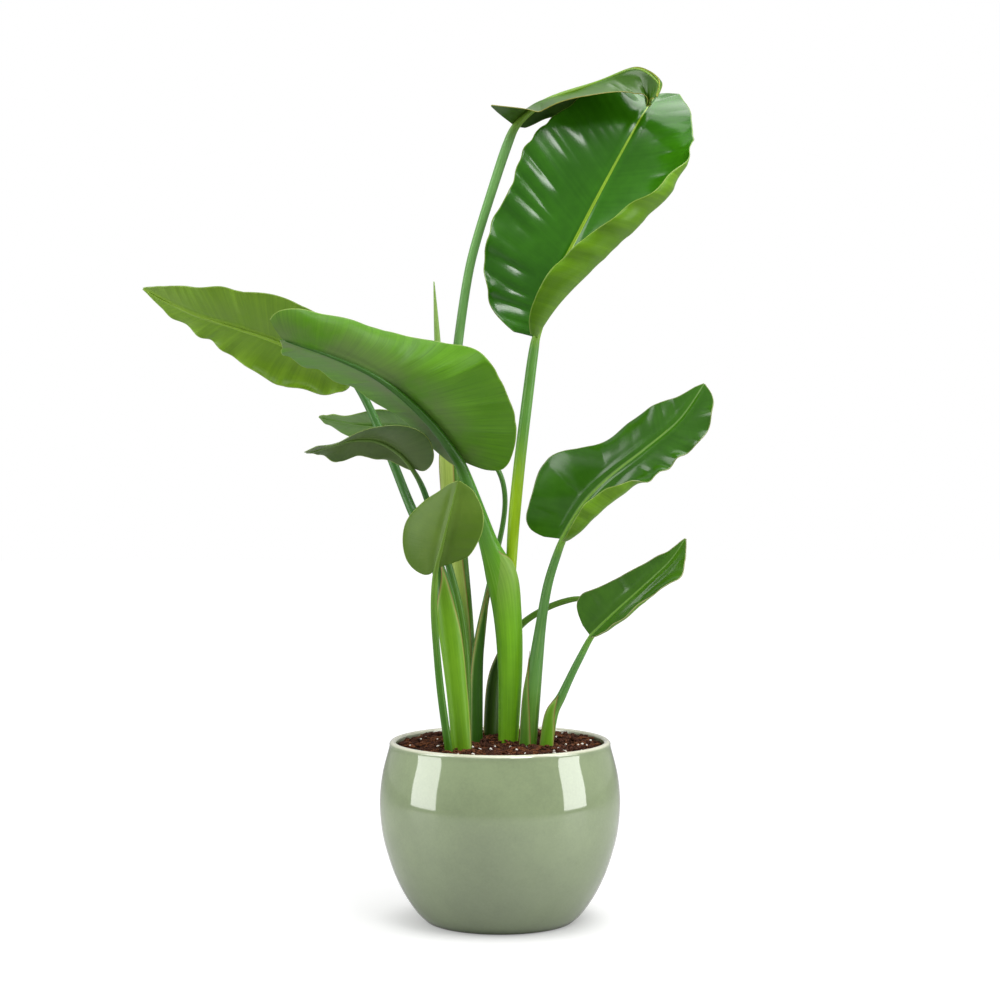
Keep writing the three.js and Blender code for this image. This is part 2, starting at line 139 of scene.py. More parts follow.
# Each leaf's sizes in mm. large marks a big blade, with a finer grid, deeper pleats and a wider midrib;
# pleats, where it is given, is their depth as a share of the setting. stalk lists x, y, z, half the width
# and half the depth from the soil up to the blade; rib lists the midrib's places from the blade's foot to
# its tip; face is the way the top face looks, from foot to tip. left and right are the blade's halves,
# seen from the top face with the tip ahead: reach is the length of a cross row, lean the degrees by which
# it points forward, fold the degrees by which it rises at the rib and curl the further degrees turned at
# its margin.
LEAVES = {
    "tall_right_leaf": {
        "large": True,
        "stalk": [
            (13, 3, STALK_FOOT, 6, 6), (11, 1, 250, 5, 5), (10, -3, 315, 5, 5), (11, -4, 350, 5.2, 5),
            (14, 3, 400, 6, 5.5), (20, 13, 460, 5.8, 5.5), (28, 21, 525, 5.5, 5), (34, 27, 570, 5, 4.5),
        ],
        "rib": [
            (36, 28, 583), (56, 30, 640), (84, 31, 697), (113, 35, 752), (140, 44, 801), (153, 64, 822),
            (160, 90, 834),
        ],
        "face": [(-0.1, -1, 0.1), (-0.1, -1, 0.2), (0, -0.8, 0.6)],
        "left": {
            "reach": [33, 63, 84, 87, 98, 93, 81, 72, 62, 56, 50, 38, 14],
            "lean": [-5, 12, 25, 30, 32, 46, 70], "fold": [10, 5, 0, -5, -10],
            "curl": [20, 10, 0, 0, -10],
        },
        "right": {
            "reach": [30, 66, 104, 118, 131, 131, 100, 69, 54, 45, 37, 23, 6],
            "lean": [0, 10, 20, 30, 36, 52, 64], "fold": [70, 42, 18, 5, 0, 5, 10],
            "curl": [100, 125, 150, 158, 145, 115, 78, 25, 5, 0, 0, -5, -10],
        },
    },
    "tall_back_leaf": {
        "large": True,
        "stalk": [
            (-32, 27, STALK_FOOT, 9, 9), (-33, 24, 268, 8, 8), (-41, 19, 359, 9, 8),
            (-49, 17, 430, 10.5, 8), (-51, 17, 475, 10, 7), (-48, 20, 520, 5.5, 5.5),
            (-42, 25, 578, 4.8, 4.8), (-33, 32, 641, 4.6, 4.6), (-24, 37, 680, 4.6, 4.6),
            (-7, 43, 735, 4.8, 4.6), (8, 47, 780, 5, 4.6),
        ],
        "rib": [
            (15, 48, 797), (37, 54, 822), (76, 58, 833), (112, 53, 849), (138, 35, 855), (157, 11, 840),
            (155, -7, 820),
        ],
        "face": [(-0.3, 1, 0.2), (-0.3, 0.6, 0.8), (-0.35, 0.1, 1), (-0.3, 0, 1), (0.2, -0.1, 1)],
        "left": {
            "reach": [16, 34, 37, 27, 10, 6, 2], "lean": [35, 30, 30, 30, 25, 15, 20],
            "fold": [0, -15, -35, -10, -25, -40, -60], "curl": [0, -10, -10, 0, -20, -20, -20],
        },
        "right": {
            "reach": [42, 46, 52, 50, 45, 27, 4], "lean": [-8, -40, 5, 40, 58, 54, 45],
            "fold": [-12, -58, -38, -42, -50, -42, -35], "curl": [0, 0, 0],
        },
    },
    "high_left_leaf": {
        "large": True,
        "stalk": [
            (-35, -35, STALK_FOOT, 10, 9), (-42, -35, 230, 10, 9), (-50, -33, 300, 11, 9),
            (-61, -29, 355, 6.5, 6.5), (-87, -15, 410, 5, 5), (-107, -2, 459, 4.5, 4.5),
            (-127, 5, 505, 4.2, 4.2), (-143, 8, 535, 4, 4),
        ],
        "rib": [
            (-150, 8, 546), (-188, 6, 564), (-224, 0, 579), (-262, -5, 592), (-305, -9, 605),
            (-352, -12, 629),
        ],
        "face": [(0.2, 0.7, 0.7), (0.2, 0.65, 0.75), (0.2, 0.5, 0.8)],
        "left": {
            "reach": [26, 50, 58, 55, 50, 31, 2], "lean": [-25, 5, 25, 32, 40], "fold": [5, 5, 5],
            "curl": [0, 0, 0],
        },
        "right": {
            "reach": [20, 41, 46, 41, 33, 22, 2], "lean": [-25, 5, 25, 32, 40], "fold": [0, 0, 0],
            "curl": [-60, -100, -30, 0, 0],
        },
    },
    "front_left_leaf": {
        "large": True,
        "stalk": [
            (7, 3, STALK_FOOT, 9, 10), (10, 0, 250, 12, 11), (7, -4, 309, 14, 11),
            (1, -7, 345, 15.5, 11), (-10, -14, 374, 10, 9), (-21, -28, 408, 7.5, 7),
            (-34, -44, 445, 6, 6),
        ],
        "rib": [
            (-38, -50, 460), (-62, -65, 493), (-93, -85, 525), (-126, -103, 546), (-159, -117, 560),
            (-184, -124, 568), (-204, -123, 575),
        ],
        "face": [(0.3, 0.8, 0.6), (0.2, 0.75, 0.65), (0.1, 0.6, 0.8)],
        "left": {
            "reach": [36, 60, 82, 93, 95, 75, 56, 47, 42, 38, 38, 34, 25],
            "lean": [-55, -27, -16, -42, -6, 26, 40], "fold": [5, 0, 0, 25, 22, 15, 0],
            "curl": [10, 0, 15, 75, 80, 60, 20],
        },
        "right": {
            "reach": [20, 44, 66, 72, 59, 36, 6], "lean": [-35, 0, 20, 30, 40],
            "fold": [25, 28, 27, 22, 15], "curl": [0, 0, 0],
        },
    },
    "small_left_leaf": {
        "stalk": [
            (-24, 8, STALK_FOOT, 6.5, 6), (-24, 8, 239, 6.5, 6), (-21, 10, 279, 5, 5),
            (-14, 14, 319, 3.2, 3.2), (-6, 18, 355, 2.8, 2.8), (3, 24, 395, 2.6, 2.6),
            (5, 29, 425, 2.6, 2.6), (-2, 35, 450, 2.6, 2.6), (-20, 42, 470, 2.4, 2.4),
            (-46, 47, 482, 2.4, 2.4),
        ],
        "rib": [(-72, 50, 487), (-99, 51, 492), (-127, 51, 495), (-155, 50, 497), (-183, 48, 503)],
        "face": [(0.1, 0.3, 1), (0, 0.2, 1), (0, 0.1, 1)],
        "left": {
            "reach": [15, 33, 43, 42, 33, 19, 2], "lean": [-25, 10, 25, 35, 40], "fold": [10, 5, 5],
            "curl": [0, 0, 0],
        },
        "right": {
            "reach": [15, 32, 40, 40, 33, 19, 2], "lean": [-25, 10, 25, 35, 40],
            "fold": [-10, -10, -10], "curl": [0, 0, 0],
        },
    },
    "low_left_leaf": {
        "stalk": [
            (-34, -12, STALK_FOOT, 4.5, 4.5), (-33, -12, 240, 4.2, 4.2), (-38, -12, 302, 4, 4),
            (-52, -13, 360, 3.5, 3.5), (-64, -14, 395, 3.2, 3.2), (-76, -19, 432, 3, 3),
        ],
        "rib": [
            (-85, -25, 452), (-98, -33, 467), (-117, -43, 479), (-141, -53, 481), (-165, -61, 474),
            (-186, -66, 468),
        ],
        "face": [(0.5, 0.5, 0.9), (0.2, 0.4, 1), (0, 0.2, 1)],
        "left": {
            "reach": [9, 35, 45, 42, 32, 20, 8], "lean": [-50, -20, -5, 10, 20, 25, 30],
            "fold": [10, 15, 10, 0, -10, 0, 0], "curl": [0, 0, 0],
        },
        "right": {
            "reach": [5, 9, 13, 17, 20, 21, 22, 29, 29, 21, 14, 8, 2], "lean": [-30, 5, 25, 35, 40],
            "fold": [-10, -30, -45, -40, -20, -5, 0], "curl": [0, 0, 0],
        },
    },
    "young_front_leaf": {
        "stalk": [
            (-46, -48, STALK_FOOT, 4, 4), (-57, -55, 227, 3.8, 3.8), (-62, -61, 281, 3.4, 3.4),
            (-64, -68, 315, 3.2, 3.2), (-63, -76, 342, 3, 3),
        ],
        "rib": [(-61, -81, 357), (-54, -90, 384), (-47, -95, 412), (-40, -94, 441)],
        "face": [(0.3, 1, 0.3), (0.2, 1, -0.1), (0.1, 0.9, -0.3)],
        "left": {
            "reach": [20, 28, 33, 35, 31, 19, 2], "lean": [35, 15, 10, 12, 18, 22, 25],
            "fold": [10, 15, 15], "curl": [20, 20, 20],
        },
        "right": {
            "reach": [14, 42, 49, 39, 27, 14, 1], "lean": [-60, -30, -5, 15, 25, 30, 30],
            "fold": [10, 15, 15], "curl": [20, 20, 20],
        },
    },
    "middle_right_leaf": {
        "large": True,
        "pleats": 0.4,
        "stalk": [
            (26, -14, STALK_FOOT, 8.5, 8), (31, -14, 222, 9, 8), (36, -14, 262, 7, 7),
            (41, -14, 300, 5.2, 5.2), (47, -15, 335, 4.6, 4.6), (55, -16, 362, 4.2, 4.2),
        ],
        "rib": [
            (61, -17, 382), (82, -21, 417), (108, -26, 444), (142, -30, 471), (176, -30, 500),
            (201, -24, 535),
        ],
        "face": [(-0.3, -1, 0.5), (-0.3, -0.9, 0.6), (-0.3, -0.8, 0.6)],
        "left": {
            "reach": [27, 46, 54, 64, 49, 41, 42, 42, 38, 31, 20, 10, 1],
            "lean": [-25, -15, 8, 20, 25, 32, 38], "fold": [5, 5, 5],
            "curl": [0, 0, -20, -35, -10, 0, 0],
        },
        "right": {
            "reach": [18, 47, 58, 57, 44, 37, 37, 24, 1], "lean": [0, 5, 15, 20, 25, 32, 38],
            "fold": [22, 10, -2, 0, 0, 0, 0], "curl": [115, 165, 165, 45, -10, 0, 0],
        },
    },
    "low_right_leaf": {
        "stalk": [
            (43, -20, STALK_FOOT, 6.5, 6.5), (50, -22, 205, 6.5, 6), (60, -24, 225, 4.6, 4.6),
            (70, -26, 247, 3.8, 3.8), (80, -27, 267, 3.5, 3.5),
        ],
        "rib": [(89, -28, 287), (113, -33, 311), (142, -37, 338), (167, -38, 362), (182, -35, 383)],
        "face": [(-0.3, -1, 0.4), (-0.3, -0.9, 0.5), (-0.3, -0.8, 0.6)],
        "left": {
            "reach": [18, 32, 37, 31, 27, 23, 20, 17, 14, 10, 6.5, 3.5, 1],
            "lean": [5, 0, 10, 20, 25, 32, 35], "fold": [5, 5, 5], "curl": [0, 0, 0],
        },
        "right": {
            "reach": [9, 17, 24, 27, 28, 26, 27, 30, 25, 17, 10, 5, 1],
            "lean": [10, 5, 10, 20, 25, 32, 35], "fold": [30, 15, 5, 5, 0], "curl": [60, 90, 70, 0, 0],
        },
    },
    "hidden_right_leaf": {
        "stalk": [
            (-10, 42, STALK_FOOT, 7, 7), (-7, 42, 225, 7, 7), (2, 40, 262, 5, 5),
            (20, 37, 291, 3.6, 3.6), (46, 33, 309, 3.2, 3.2), (70, 29, 318, 3, 3),
        ],
        "rib": [(84, 26, 321), (100, 24, 323), (120, 23, 328), (138, 22, 336), (152, 22, 345)],
        "face": [(-0.2, -0.8, 0.8), (-0.2, -0.8, 0.8), (-0.2, -0.8, 0.8)],
        "left": {
            "reach": [3, 8, 12, 13, 11, 7, 1], "lean": [-20, 5, 22, 32, 40], "fold": [0, 0, 0],
            "curl": [0, 0, 0],
        },
        "right": {
            "reach": [6, 14, 16, 15, 12, 7, 1], "lean": [-20, 5, 22, 32, 40], "fold": [10, 10, 5],
            "curl": [0, 0, 0],
        },
    },
}

# Sharp creases of the blades' left and right halves: share along the midrib, the share of the way from the
# midrib to the margin at which each begins, and its strength, which is two thirds of its depth in mm
CREASES = {
    "tall_right_leaf": {
        "left": [
            (0.41, 0.38, 1.9), (0.355, 0.3, 2.3), (0.31, 0.33, 1.8), (0.265, 0.4, 1.8), (0.21, 0.5, 1.0),
            (0.165, 0.24, 2.4), (0.125, 0.26, 2.2), (0.075, 0.2, 2.2), (0.5, 0.5, 0.8), (0.6, 0.45, 0.7),
        ],
        "right": [(0.5, 0.35, 0.9), (0.57, 0.3, 0.8), (0.64, 0.3, 0.9), (0.72, 0.35, 0.7)],
    },
    "middle_right_leaf": {
        "left": [(0.235, 0.15, 0.9), (0.38, 0.3, 0.4), (0.7, 0.4, 0.3), (0.12, 0.4, 0.5)],
        "right": [(0.5, 0.3, 0.9), (0.7, 0.3, 0.4)],
    },
    "low_right_leaf": {"left": [(0.2, 0.3, 0.8), (0.38, 0.3, 0.7)], "right": [(0.45, 0.3, 0.6)]},
    "front_left_leaf": {
        "left": [(0.18, 0.3, 1.1), (0.29, 0.25, 0.9), (0.42, 0.35, 1.1), (0.55, 0.3, 0.8)],
        "right": [(0.3, 0.3, 0.8), (0.5, 0.3, 0.8)],
    },
    "high_left_leaf": {"left": [(0.3, 0.4, 0.7), (0.5, 0.4, 0.8)], "right": [(0.25, 0.3, 0.9)]},
    "tall_back_leaf": {"left": [(0.35, 0.3, 1.0)], "right": [(0.2, 0.3, 1.0), (0.5, 0.3, 1.0)]},
}

# Waves of the margins: share along the midrib at both ends, length of a wave in mm and height in mm
WAVES = {
    "tall_right_leaf": {"left": (0.0, 0.32, 26, 2.4), "right": (0.15, 0.7, 31, 3.2)},
    "high_left_leaf": {"left": (0.1, 0.9, 45, 1.2), "right": (0.0, 0.85, 34, 3.0)},
    "front_left_leaf": {"left": (0.3, 0.8, 48, 1.6), "right": (0.15, 0.9, 40, 1.6)},
    "middle_right_leaf": {"left": (0.2, 0.8, 44, 1.2), "right": (0.1, 0.9, 24, 2.2)},
    "low_right_leaf": {"left": (0.1, 0.9, 30, 1.0), "right": (0.1, 0.9, 26, 1.2)},
    "low_left_leaf": {"left": (0.1, 0.9, 38, 1.4), "right": (0.1, 0.9, 30, 1.8)},
    "small_left_leaf": {"left": (0.2, 0.9, 36, 1.4), "right": (0.2, 0.9, 36, 1.4)},
}

# The sheaths that clasp the stalks: the share of the stalk that each reaches up, then the degrees at which
# its left and right margins lie, from foot to tip, where 0 faces the front and 90 the right
SHEATHS = {
    "tall_back_leaf": (0.52, [-150, -150, -80, -60, -20], [30, 30, 20, 20, -20]),
    "high_left_leaf": (0.44, [-150, -150, -120, -60, 30], [42, 75, 70, 46, 36]),
    "front_left_leaf": (0.66, [-110, -90, -60, -20, 30], [170, 170, 160, 120, 36]),
    "middle_right_leaf": (0.44, [-75, -72, -70, -65, -80], [40, 10, -20, -45, -80]),
    "low_right_leaf": (0.52, [-80, -75, -70, -60, -45], [95, 70, 30, 0, -40]),
    "hidden_right_leaf": (0.5, [-80, -75, -70, -60, -40], [150, 120, 90, 60, -30]),
    "small_left_leaf": (0.4, [-60, -50, -40, -30, -10], [150, 130, 100, 60, -5]),
}

# Sheaths whose left margin lies flush with the stalk
FLUSH_SHEATHS = ("front_left_leaf",)

# Colours on the screen's scale of 0 to 255. Undersides: the face, partly lightened as painted light shining
# through the blade, its midrib, and how strong the grey bloom, partly a painted sheen, is on the left and
# right halves
UNDERSIDES = {
    "tall_right_leaf": ((102, 148, 20), (140, 180, 44), (0.1, 0.1)),
    "tall_back_leaf": ((62, 100, 20), (120, 158, 46), (0.2, 0.2)),
    "high_left_leaf": ((118, 160, 30), (140, 178, 50), (0.35, 0.15)),
    "front_left_leaf": ((90, 148, 16), (44, 90, 14), (0.7, 1.0)),
    "small_left_leaf": ((96, 146, 48), (104, 150, 54), (0.2, 0.2)),
    "low_left_leaf": ((70, 100, 40), (98, 130, 50), (0.5, 0.5)),
    "young_front_leaf": ((90, 124, 24), (96, 130, 32), (0.2, 0.2)),
    "middle_right_leaf": ((106, 152, 28), (120, 166, 46), (0.1, 0.1)),
    "low_right_leaf": ((98, 144, 30), (112, 160, 46), (0.1, 0.1)),
    "hidden_right_leaf": ((94, 138, 30), (108, 154, 46), (0.1, 0.1)),
}

# Factors for red, green and blue by which the upper faces of some leaves differ from the rest: partly
# their own tone and partly a painted sheen of the light on them
TOP_TINTS_AND_SHEENS = {
    "tall_back_leaf": (1.5, 0.88, 1.0), "low_left_leaf": (0.9, 0.8, 1.5),
    "middle_right_leaf": (1.2, 0.92, 2.0), "low_right_leaf": (1.6, 1.0, 3.0),
}

# The leaf with finishes of its own, and the leaves with a yellow midrib on the upper face
YOUNG_LEAF = "young_front_leaf"
YELLOW_RIBS = ("tall_right_leaf", "tall_back_leaf", "high_left_leaf", "front_left_leaf", YOUNG_LEAF)

# How matt the upper faces are, and how strongly the veins show on the undersides: most leaves, then some
MATT = 0.08
MATT_TOPS = {YOUNG_LEAF: 0.28, "tall_back_leaf": 0.2}
VEINED = 0.32
VEINED_UNDERSIDES = {YOUNG_LEAF: 0.08, "front_left_leaf": 0.6}

# Stalks: the colour at the foot and the one above, and between which heights in mm it changes
STALKS = {
    "tall_right_leaf": ((150, 188, 20), (96, 150, 60), 420, 500),
    "tall_back_leaf": ((84, 130, 34), (112, 164, 88), 460, 620),
    "high_left_leaf": ((82, 132, 26), (72, 122, 54), 300, 370),
    "front_left_leaf": ((112, 176, 28), (88, 146, 52), 330, 420),
    "small_left_leaf": ((62, 106, 24), (78, 128, 46), 260, 340),
    "low_left_leaf": ((82, 128, 34), (68, 118, 54), 300, 400),
    "young_front_leaf": ((68, 122, 20), (104, 150, 36), 260, 350),
    "middle_right_leaf": ((96, 148, 42), (98, 148, 74), 200, 280),
    "low_right_leaf": ((96, 150, 36), (88, 142, 64), 200, 240),
    "hidden_right_leaf": ((60, 92, 24), (94, 136, 40), 250, 300),
}

# Sheaths: the colour at the foot and the one at the tip
SHEATH_COLOURS = {
    "tall_back_leaf": ((84, 130, 34), (180, 200, 96)),
    "high_left_leaf": ((112, 164, 24), (112, 158, 36)),
    "front_left_leaf": ((130, 196, 32), (134, 174, 72)),
    "middle_right_leaf": ((96, 150, 40), (116, 160, 66)),
    "low_right_leaf": ((112, 168, 32), (142, 166, 60)),
    "hidden_right_leaf": ((58, 90, 20), (84, 104, 30)),
    "small_left_leaf": ((54, 100, 20), (78, 122, 34)),
}

# The rolled new leaf: x, y, z and its half width and half depth, from inside its sheath to its tip
SPEAR = [
    (-55, 15, 425, 3.2, 3.2), (-58, 15, 480, 3.8, 3.8), (-60, 15, 530, 4, 4), (-63, 14, 585, 3, 3),
    (-66, 12, 638, 0.6, 0.6),
]

# Its colours, like a stalk's
SPEAR_COLOURS = ((132, 164, 70), (150, 186, 96), 460, 560)


# Smooth curves through lists of values


def along(values, t):
    """Values, or rows of values such as places, at share t of the way along a list, on a smooth curve."""
    table = np.asarray(values, dtype=float)
    spans = len(table) - 1
    place = np.clip(t, 0, 1) * spans
    first = np.minimum(np.floor(place).astype(int), spans - 1)
    f = place - first
    if table.ndim > 1:
        f = np.asarray(f)[..., None]
    p, q, r, s = (table[np.clip(first + step, 0, spans)] for step in (-1, 0, 1, 2))
    return q + 0.5 * f * (r - p + f * (2 * p - 5 * q + 4 * r - s + f * (3 * (q - r) + s - p)))


def risen(values, low, high):
    """How far values have come from low to high, from 0 to 1."""
    return np.clip((values - low) / (high - low), 0, 1)


def unit(rows):
    """Rows of vectors made one unit long."""
    rows = np.asarray(rows, dtype=float)
    return rows / np.linalg.norm(rows, axis=-1, keepdims=True)


def flattened(rows, away):
    """Rows of vectors without their share along the unit vectors in away, made one unit long."""
    return unit(rows - (rows * away).sum(axis=-1, keepdims=True) * away)


def travelled(places):
    """How far each place of a line is from its first."""
    return np.concatenate([[0], np.cumsum(np.linalg.norm(np.diff(places, axis=0), axis=1))])


def rib_frames(leaf, v):
    """Places along the midrib, with the directions forward, across and out of the top face."""
    step = 0.01
    forward = unit(along(leaf["rib"], v + step) - along(leaf["rib"], v - step))
    face = flattened(along(leaf["face"], v), forward)
    return along(leaf["rib"], v), forward, np.cross(forward, face), face


# Pieces


def add_piece(name, bm, material, slot, *nodes):
    """A finished piece of the plant on the root body, which stands for the named nodes of the frame."""
    mesh = bpy.data.meshes.new(name)
    for face in bm.faces:
        face.smooth = True
    bm.to_mesh(mesh)
    bm.free()
    piece = bpy.data.objects.new(name, mesh)
    bpy.context.collection.objects.link(piece)
    mesh.materials.append(material)
    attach(piece, "root")
    if nodes:
        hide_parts(*nodes)
    return piece


def thicken(piece, thickness, offset):
    """Give a sheet its thickness in mm, to one side of it or to both."""
    shell = piece.modifiers.new("thickness", "SOLIDIFY")
    shell.thickness = thickness * MM
    shell.offset = offset
    return shell


def bent_grid(place, measures):
    """A grid whose points go where place says in mm, with the measures that each of them carries."""
    rows, columns = place.shape[0] - 1, place.shape[1] - 1
    bm = bmesh.new()
    bmesh.ops.create_grid(bm, x_segments=columns, y_segments=rows, size=1)
    layers = {key: bm.verts.layers.float.new(key) for key in measures}
    for vert in bm.verts:
        row = round((vert.co.y + 1) / 2 * rows)
        column = round((vert.co.x + 1) / 2 * columns)
        for key, layer in layers.items():
            vert[layer] = measures[key][row, column]
        vert.co = Vector(place[row, column] * MM)
    return bm


# Blades


def notches(name, side):
    """Where creases draw the margin of a half in: share along the midrib, and share of the reach."""
    lines = CREASES.get(name, {}).get(side, ())
    return [(at + NOTCH_PAST, NOTCH_DEPTH * deep) for at, _, deep in lines]


def half_blade(name, side, v, shares):
    """Places of one half of a blade, row by row from the midrib out, and each row's length."""
    leaf = LEAVES[name]
    half = leaf[side]
    place, forward, across, face = rib_frames(leaf, v)
    lean = np.radians(along(half["lean"], v))[:, None]
    outward = across * SIDES[side] * np.cos(lean) + forward * np.sin(lean)
    rounded_foot = 1 - 0.3 * risen(v, 0.05, 0) ** 2
    reach = along(half["reach"], v) * rounded_foot
    for at, depth in notches(name, side):
        reach = reach * (1 - depth * np.exp(-(((v - at) / NOTCH_WIDTH) ** 2)))
    middles = (shares[1:] + shares[:-1]) / 2
    turn = np.radians(along(half["fold"], v)[:, None] + along(half["curl"], v)[:, None] * middles**2)
    stride = reach[:, None] * np.diff(shares)
    steps = outward[:, None] * (np.cos(turn) * stride)[..., None]
    steps = steps + face[:, None] * (np.sin(turn) * stride)[..., None]
    return place[:, None] + np.cumsum(steps, axis=1), reach


def blade_sheet(name, rows, columns):
    """A blade's places in mm as a grid, and how far each is along the midrib, from it and from the rim."""
    v = np.linspace(0, 1, rows + 1)
    shares = np.linspace(0, 1, columns + 1)
    left, left_reach = half_blade(name, "left", v, shares)
    right, right_reach = half_blade(name, "right", v, shares)
    middle = along(LEAVES[name]["rib"], v)
    sheet = np.concatenate([left[:, ::-1], middle[:, None], right], axis=1)
    from_rib = np.concatenate([-left_reach[:, None] * shares[:0:-1], right_reach[:, None] * shares], axis=1)
    reach = np.where(from_rib < 0, left_reach[:, None], right_reach[:, None])
    onward = travelled(middle)
    past_rim_colour = 2.0  # so that the rim's colour doesn't cover the blade's ends
    from_end = np.minimum(onward, onward[-1] - onward) + past_rim_colour
    from_rim = np.minimum(reach - np.abs(from_rib), from_end[:, None])
    return sheet, np.repeat(onward[:, None], 2 * columns + 1, axis=1), from_rib, from_rim


def sheet_normals(sheet):
    """The direction out of the top face at each place of a grid."""
    normals = np.cross(np.gradient(sheet, axis=1), np.gradient(sheet, axis=0))
    return normals / np.maximum(np.linalg.norm(normals, axis=-1, keepdims=True), 1e-9)


def side_panels(onward, from_rib, share, pitch, seed):
    """Soft panels between the side veins, uneven along the blade and fading out at the midrib."""
    shift = np.where(from_rib > 0, 0.37, 0.0)
    drift = 0.5 * np.sin(onward / 37 + seed + 4 * shift) + 0.3 * np.sin(onward / 17 + 2 * seed)
    panel = np.abs(np.sin(math.pi * (onward / pitch + drift + shift))) - 0.6
    strength = 0.5 + 0.5 * np.sin(onward / 29 + 3 * seed + 9 * shift + 2 * share)
    return panel * strength * risen(share, 0.15, 0.65) ** 1.3


def crease(line, order, onward, share, edge, seed):
    """Depth in mm of a sharp crease, gentle on the side of the blade's foot and steep on the tip's."""
    at, inner, deep = line
    slant = 5 * math.sin(seed + 2.3 * order) * (1 - share)
    gap = onward - at * onward.max() + slant
    width = np.where(gap < 0, 3 + 5 * share, 2 + 3 * share)
    valley = np.maximum(np.exp(-np.abs(gap) / width) - 0.12, 0)
    fading = risen(share, inner, inner + 0.3) ** 0.8 * (0.4 + 0.6 * edge)
    return 1.7 * deep * valley * fading


def margin_waves(wave, onward, share, seed):
    """Height in mm of the waves of a half's margin, which fade out at both ends of their stretch."""
    start, end, long, high = wave
    fade = 0.08
    ahead = onward / onward.max()
    level = risen(ahead, start, start + fade) * risen(ahead, end, end - fade)
    swing = np.sin(2 * math.pi * onward / long + 1.7 * seed + 0.8 * np.sin(onward / 19))
    return level * high * swing * share**4


def rib_groove(from_rib):
    """Height in mm of the shallow groove along the midrib, with a soft shoulder on each side of it."""
    shoulder = 0.6 * np.exp(-(((np.abs(from_rib) - 5.5) / 3.5) ** 2))
    return shoulder - 0.5 * np.exp(-((from_rib / 2.4) ** 2))


def pleated(name, sheet, onward, from_rib, from_rim, pitch, depth, seed):
    """A blade pressed into soft panels between its side veins, with its own creases and wavy margins."""
    reach = np.abs(from_rib) + np.maximum(from_rim, 0)
    share = np.abs(from_rib) / np.maximum(reach, 1e-6)
    edge = risen(share, 1, 0.9) ** 0.6
    lift = depth * side_panels(onward, from_rib, share, pitch, seed) * edge
    for side, sign in SIDES.items():
        half = from_rib * sign > 0
        for order, line in enumerate(CREASES.get(name, {}).get(side, ())):
            lift -= half * crease(line, order, onward, share, edge, seed)
        if side in WAVES.get(name, {}):
            lift += half * margin_waves(WAVES[name][side], onward, share, seed)
    ripple = 0.7 * np.sin(onward / 15 + 5 * seed + from_rib / 41) * share**3
    lift += ripple * risen(reach, 0, 45) + rib_groove(from_rib) * risen(reach, 0, 25)
    return sheet + sheet_normals(sheet) * lift[..., None]


def make_blade(name, settings, top, under, slot, seed):
    """One blade: a grid bent to the leaf's sheet, pleated, and given its thickness."""
    leaf = LEAVES[name]
    large = leaf.get("large", False)
    sheet, onward, from_rib, from_rim = blade_sheet(name, *(LARGE_GRID if large else SMALL_GRID))
    depth = settings.pleat_depth / MM * leaf.get("pleats", 1 if large else SMALL_PLEATS)
    shaped = pleated(name, sheet, onward, from_rib, from_rim, settings.pleat_pitch / MM, depth, seed)
    rib = RIB_WIDTH * (1 - 0.75 * onward / onward.max()) * (1 if large else SMALL_RIB)
    measures = {
        "onward": onward, "from_rib": from_rib, "from_rim": from_rim, "beside_rib": np.abs(from_rib) - rib,
    }
    piece = add_piece(f"{name}_sheet", bent_grid(shaped, measures), top, slot, f"{name}_blade")
    piece.data.materials.append(under)
    shell = thicken(piece, BLADE_THICKNESS, 0)
    shell.material_offset = 1
    shell.material_offset_rim = 0


# Stalks


def stalk_line(leaf):
    """The stalk's places with half widths: the petiole, then the keel that runs on under the midrib."""
    girth = leaf["stalk"][-1][4]
    shares = np.array(KEEL_SHARES)
    place, _, _, face = rib_frames(leaf, shares)
    radius = 0.5 + (girth - 1.2) * (1 - shares) ** 1.3
    keel = place - face * (BLADE_THICKNESS / 2 + radius * 0.6)[:, None]
    return [*leaf["stalk"], *((*spot, wide, wide) for spot, wide in zip(keel, radius))]


def tube_rings(line, rings):
    """Rings along a line, softened at its joints: centres with half widths, and the ways across and back."""
    spots = along(line, np.linspace(0, 1, rings))
    for _ in range(SMOOTHINGS):
        spots[1:-1] = (spots[:-2] + 2 * spots[1:-1] + spots[2:]) / 4
    forward = unit(np.gradient(spots[:, :3], axis=0))
    across = np.empty((rings, 3))
    turned = np.array([1.0, 0, 0])
    for ring in range(rings):
        turned = flattened(turned[None], forward[ring][None])[0]
        across[ring] = turned
    return spots, across, np.cross(forward, across)


def round_places(spots, across, back, angles, flare=0.0):
    """Places round a line at angles from its front, standing off its girth by flare in mm."""
    wide = (spots[:, 3, None] + flare)[..., None]
    deep = (spots[:, 4, None] + flare)[..., None]
    place = spots[:, None, :3] + np.sin(angles)[..., None] * across[:, None] * wide
    return place - np.cos(angles)[..., None] * back[:, None] * deep


def round_measures(spots, angles):
    """How far each point of a tube is onward in mm, and where it lies round it."""
    columns = {
        "onward": travelled(spots[:, :3])[:, None], "lateral": np.sin(angles), "frontal": np.cos(angles),
    }
    shape = (len(spots), angles.shape[1])
    return {key: np.broadcast_to(values, shape) for key, values in columns.items()}


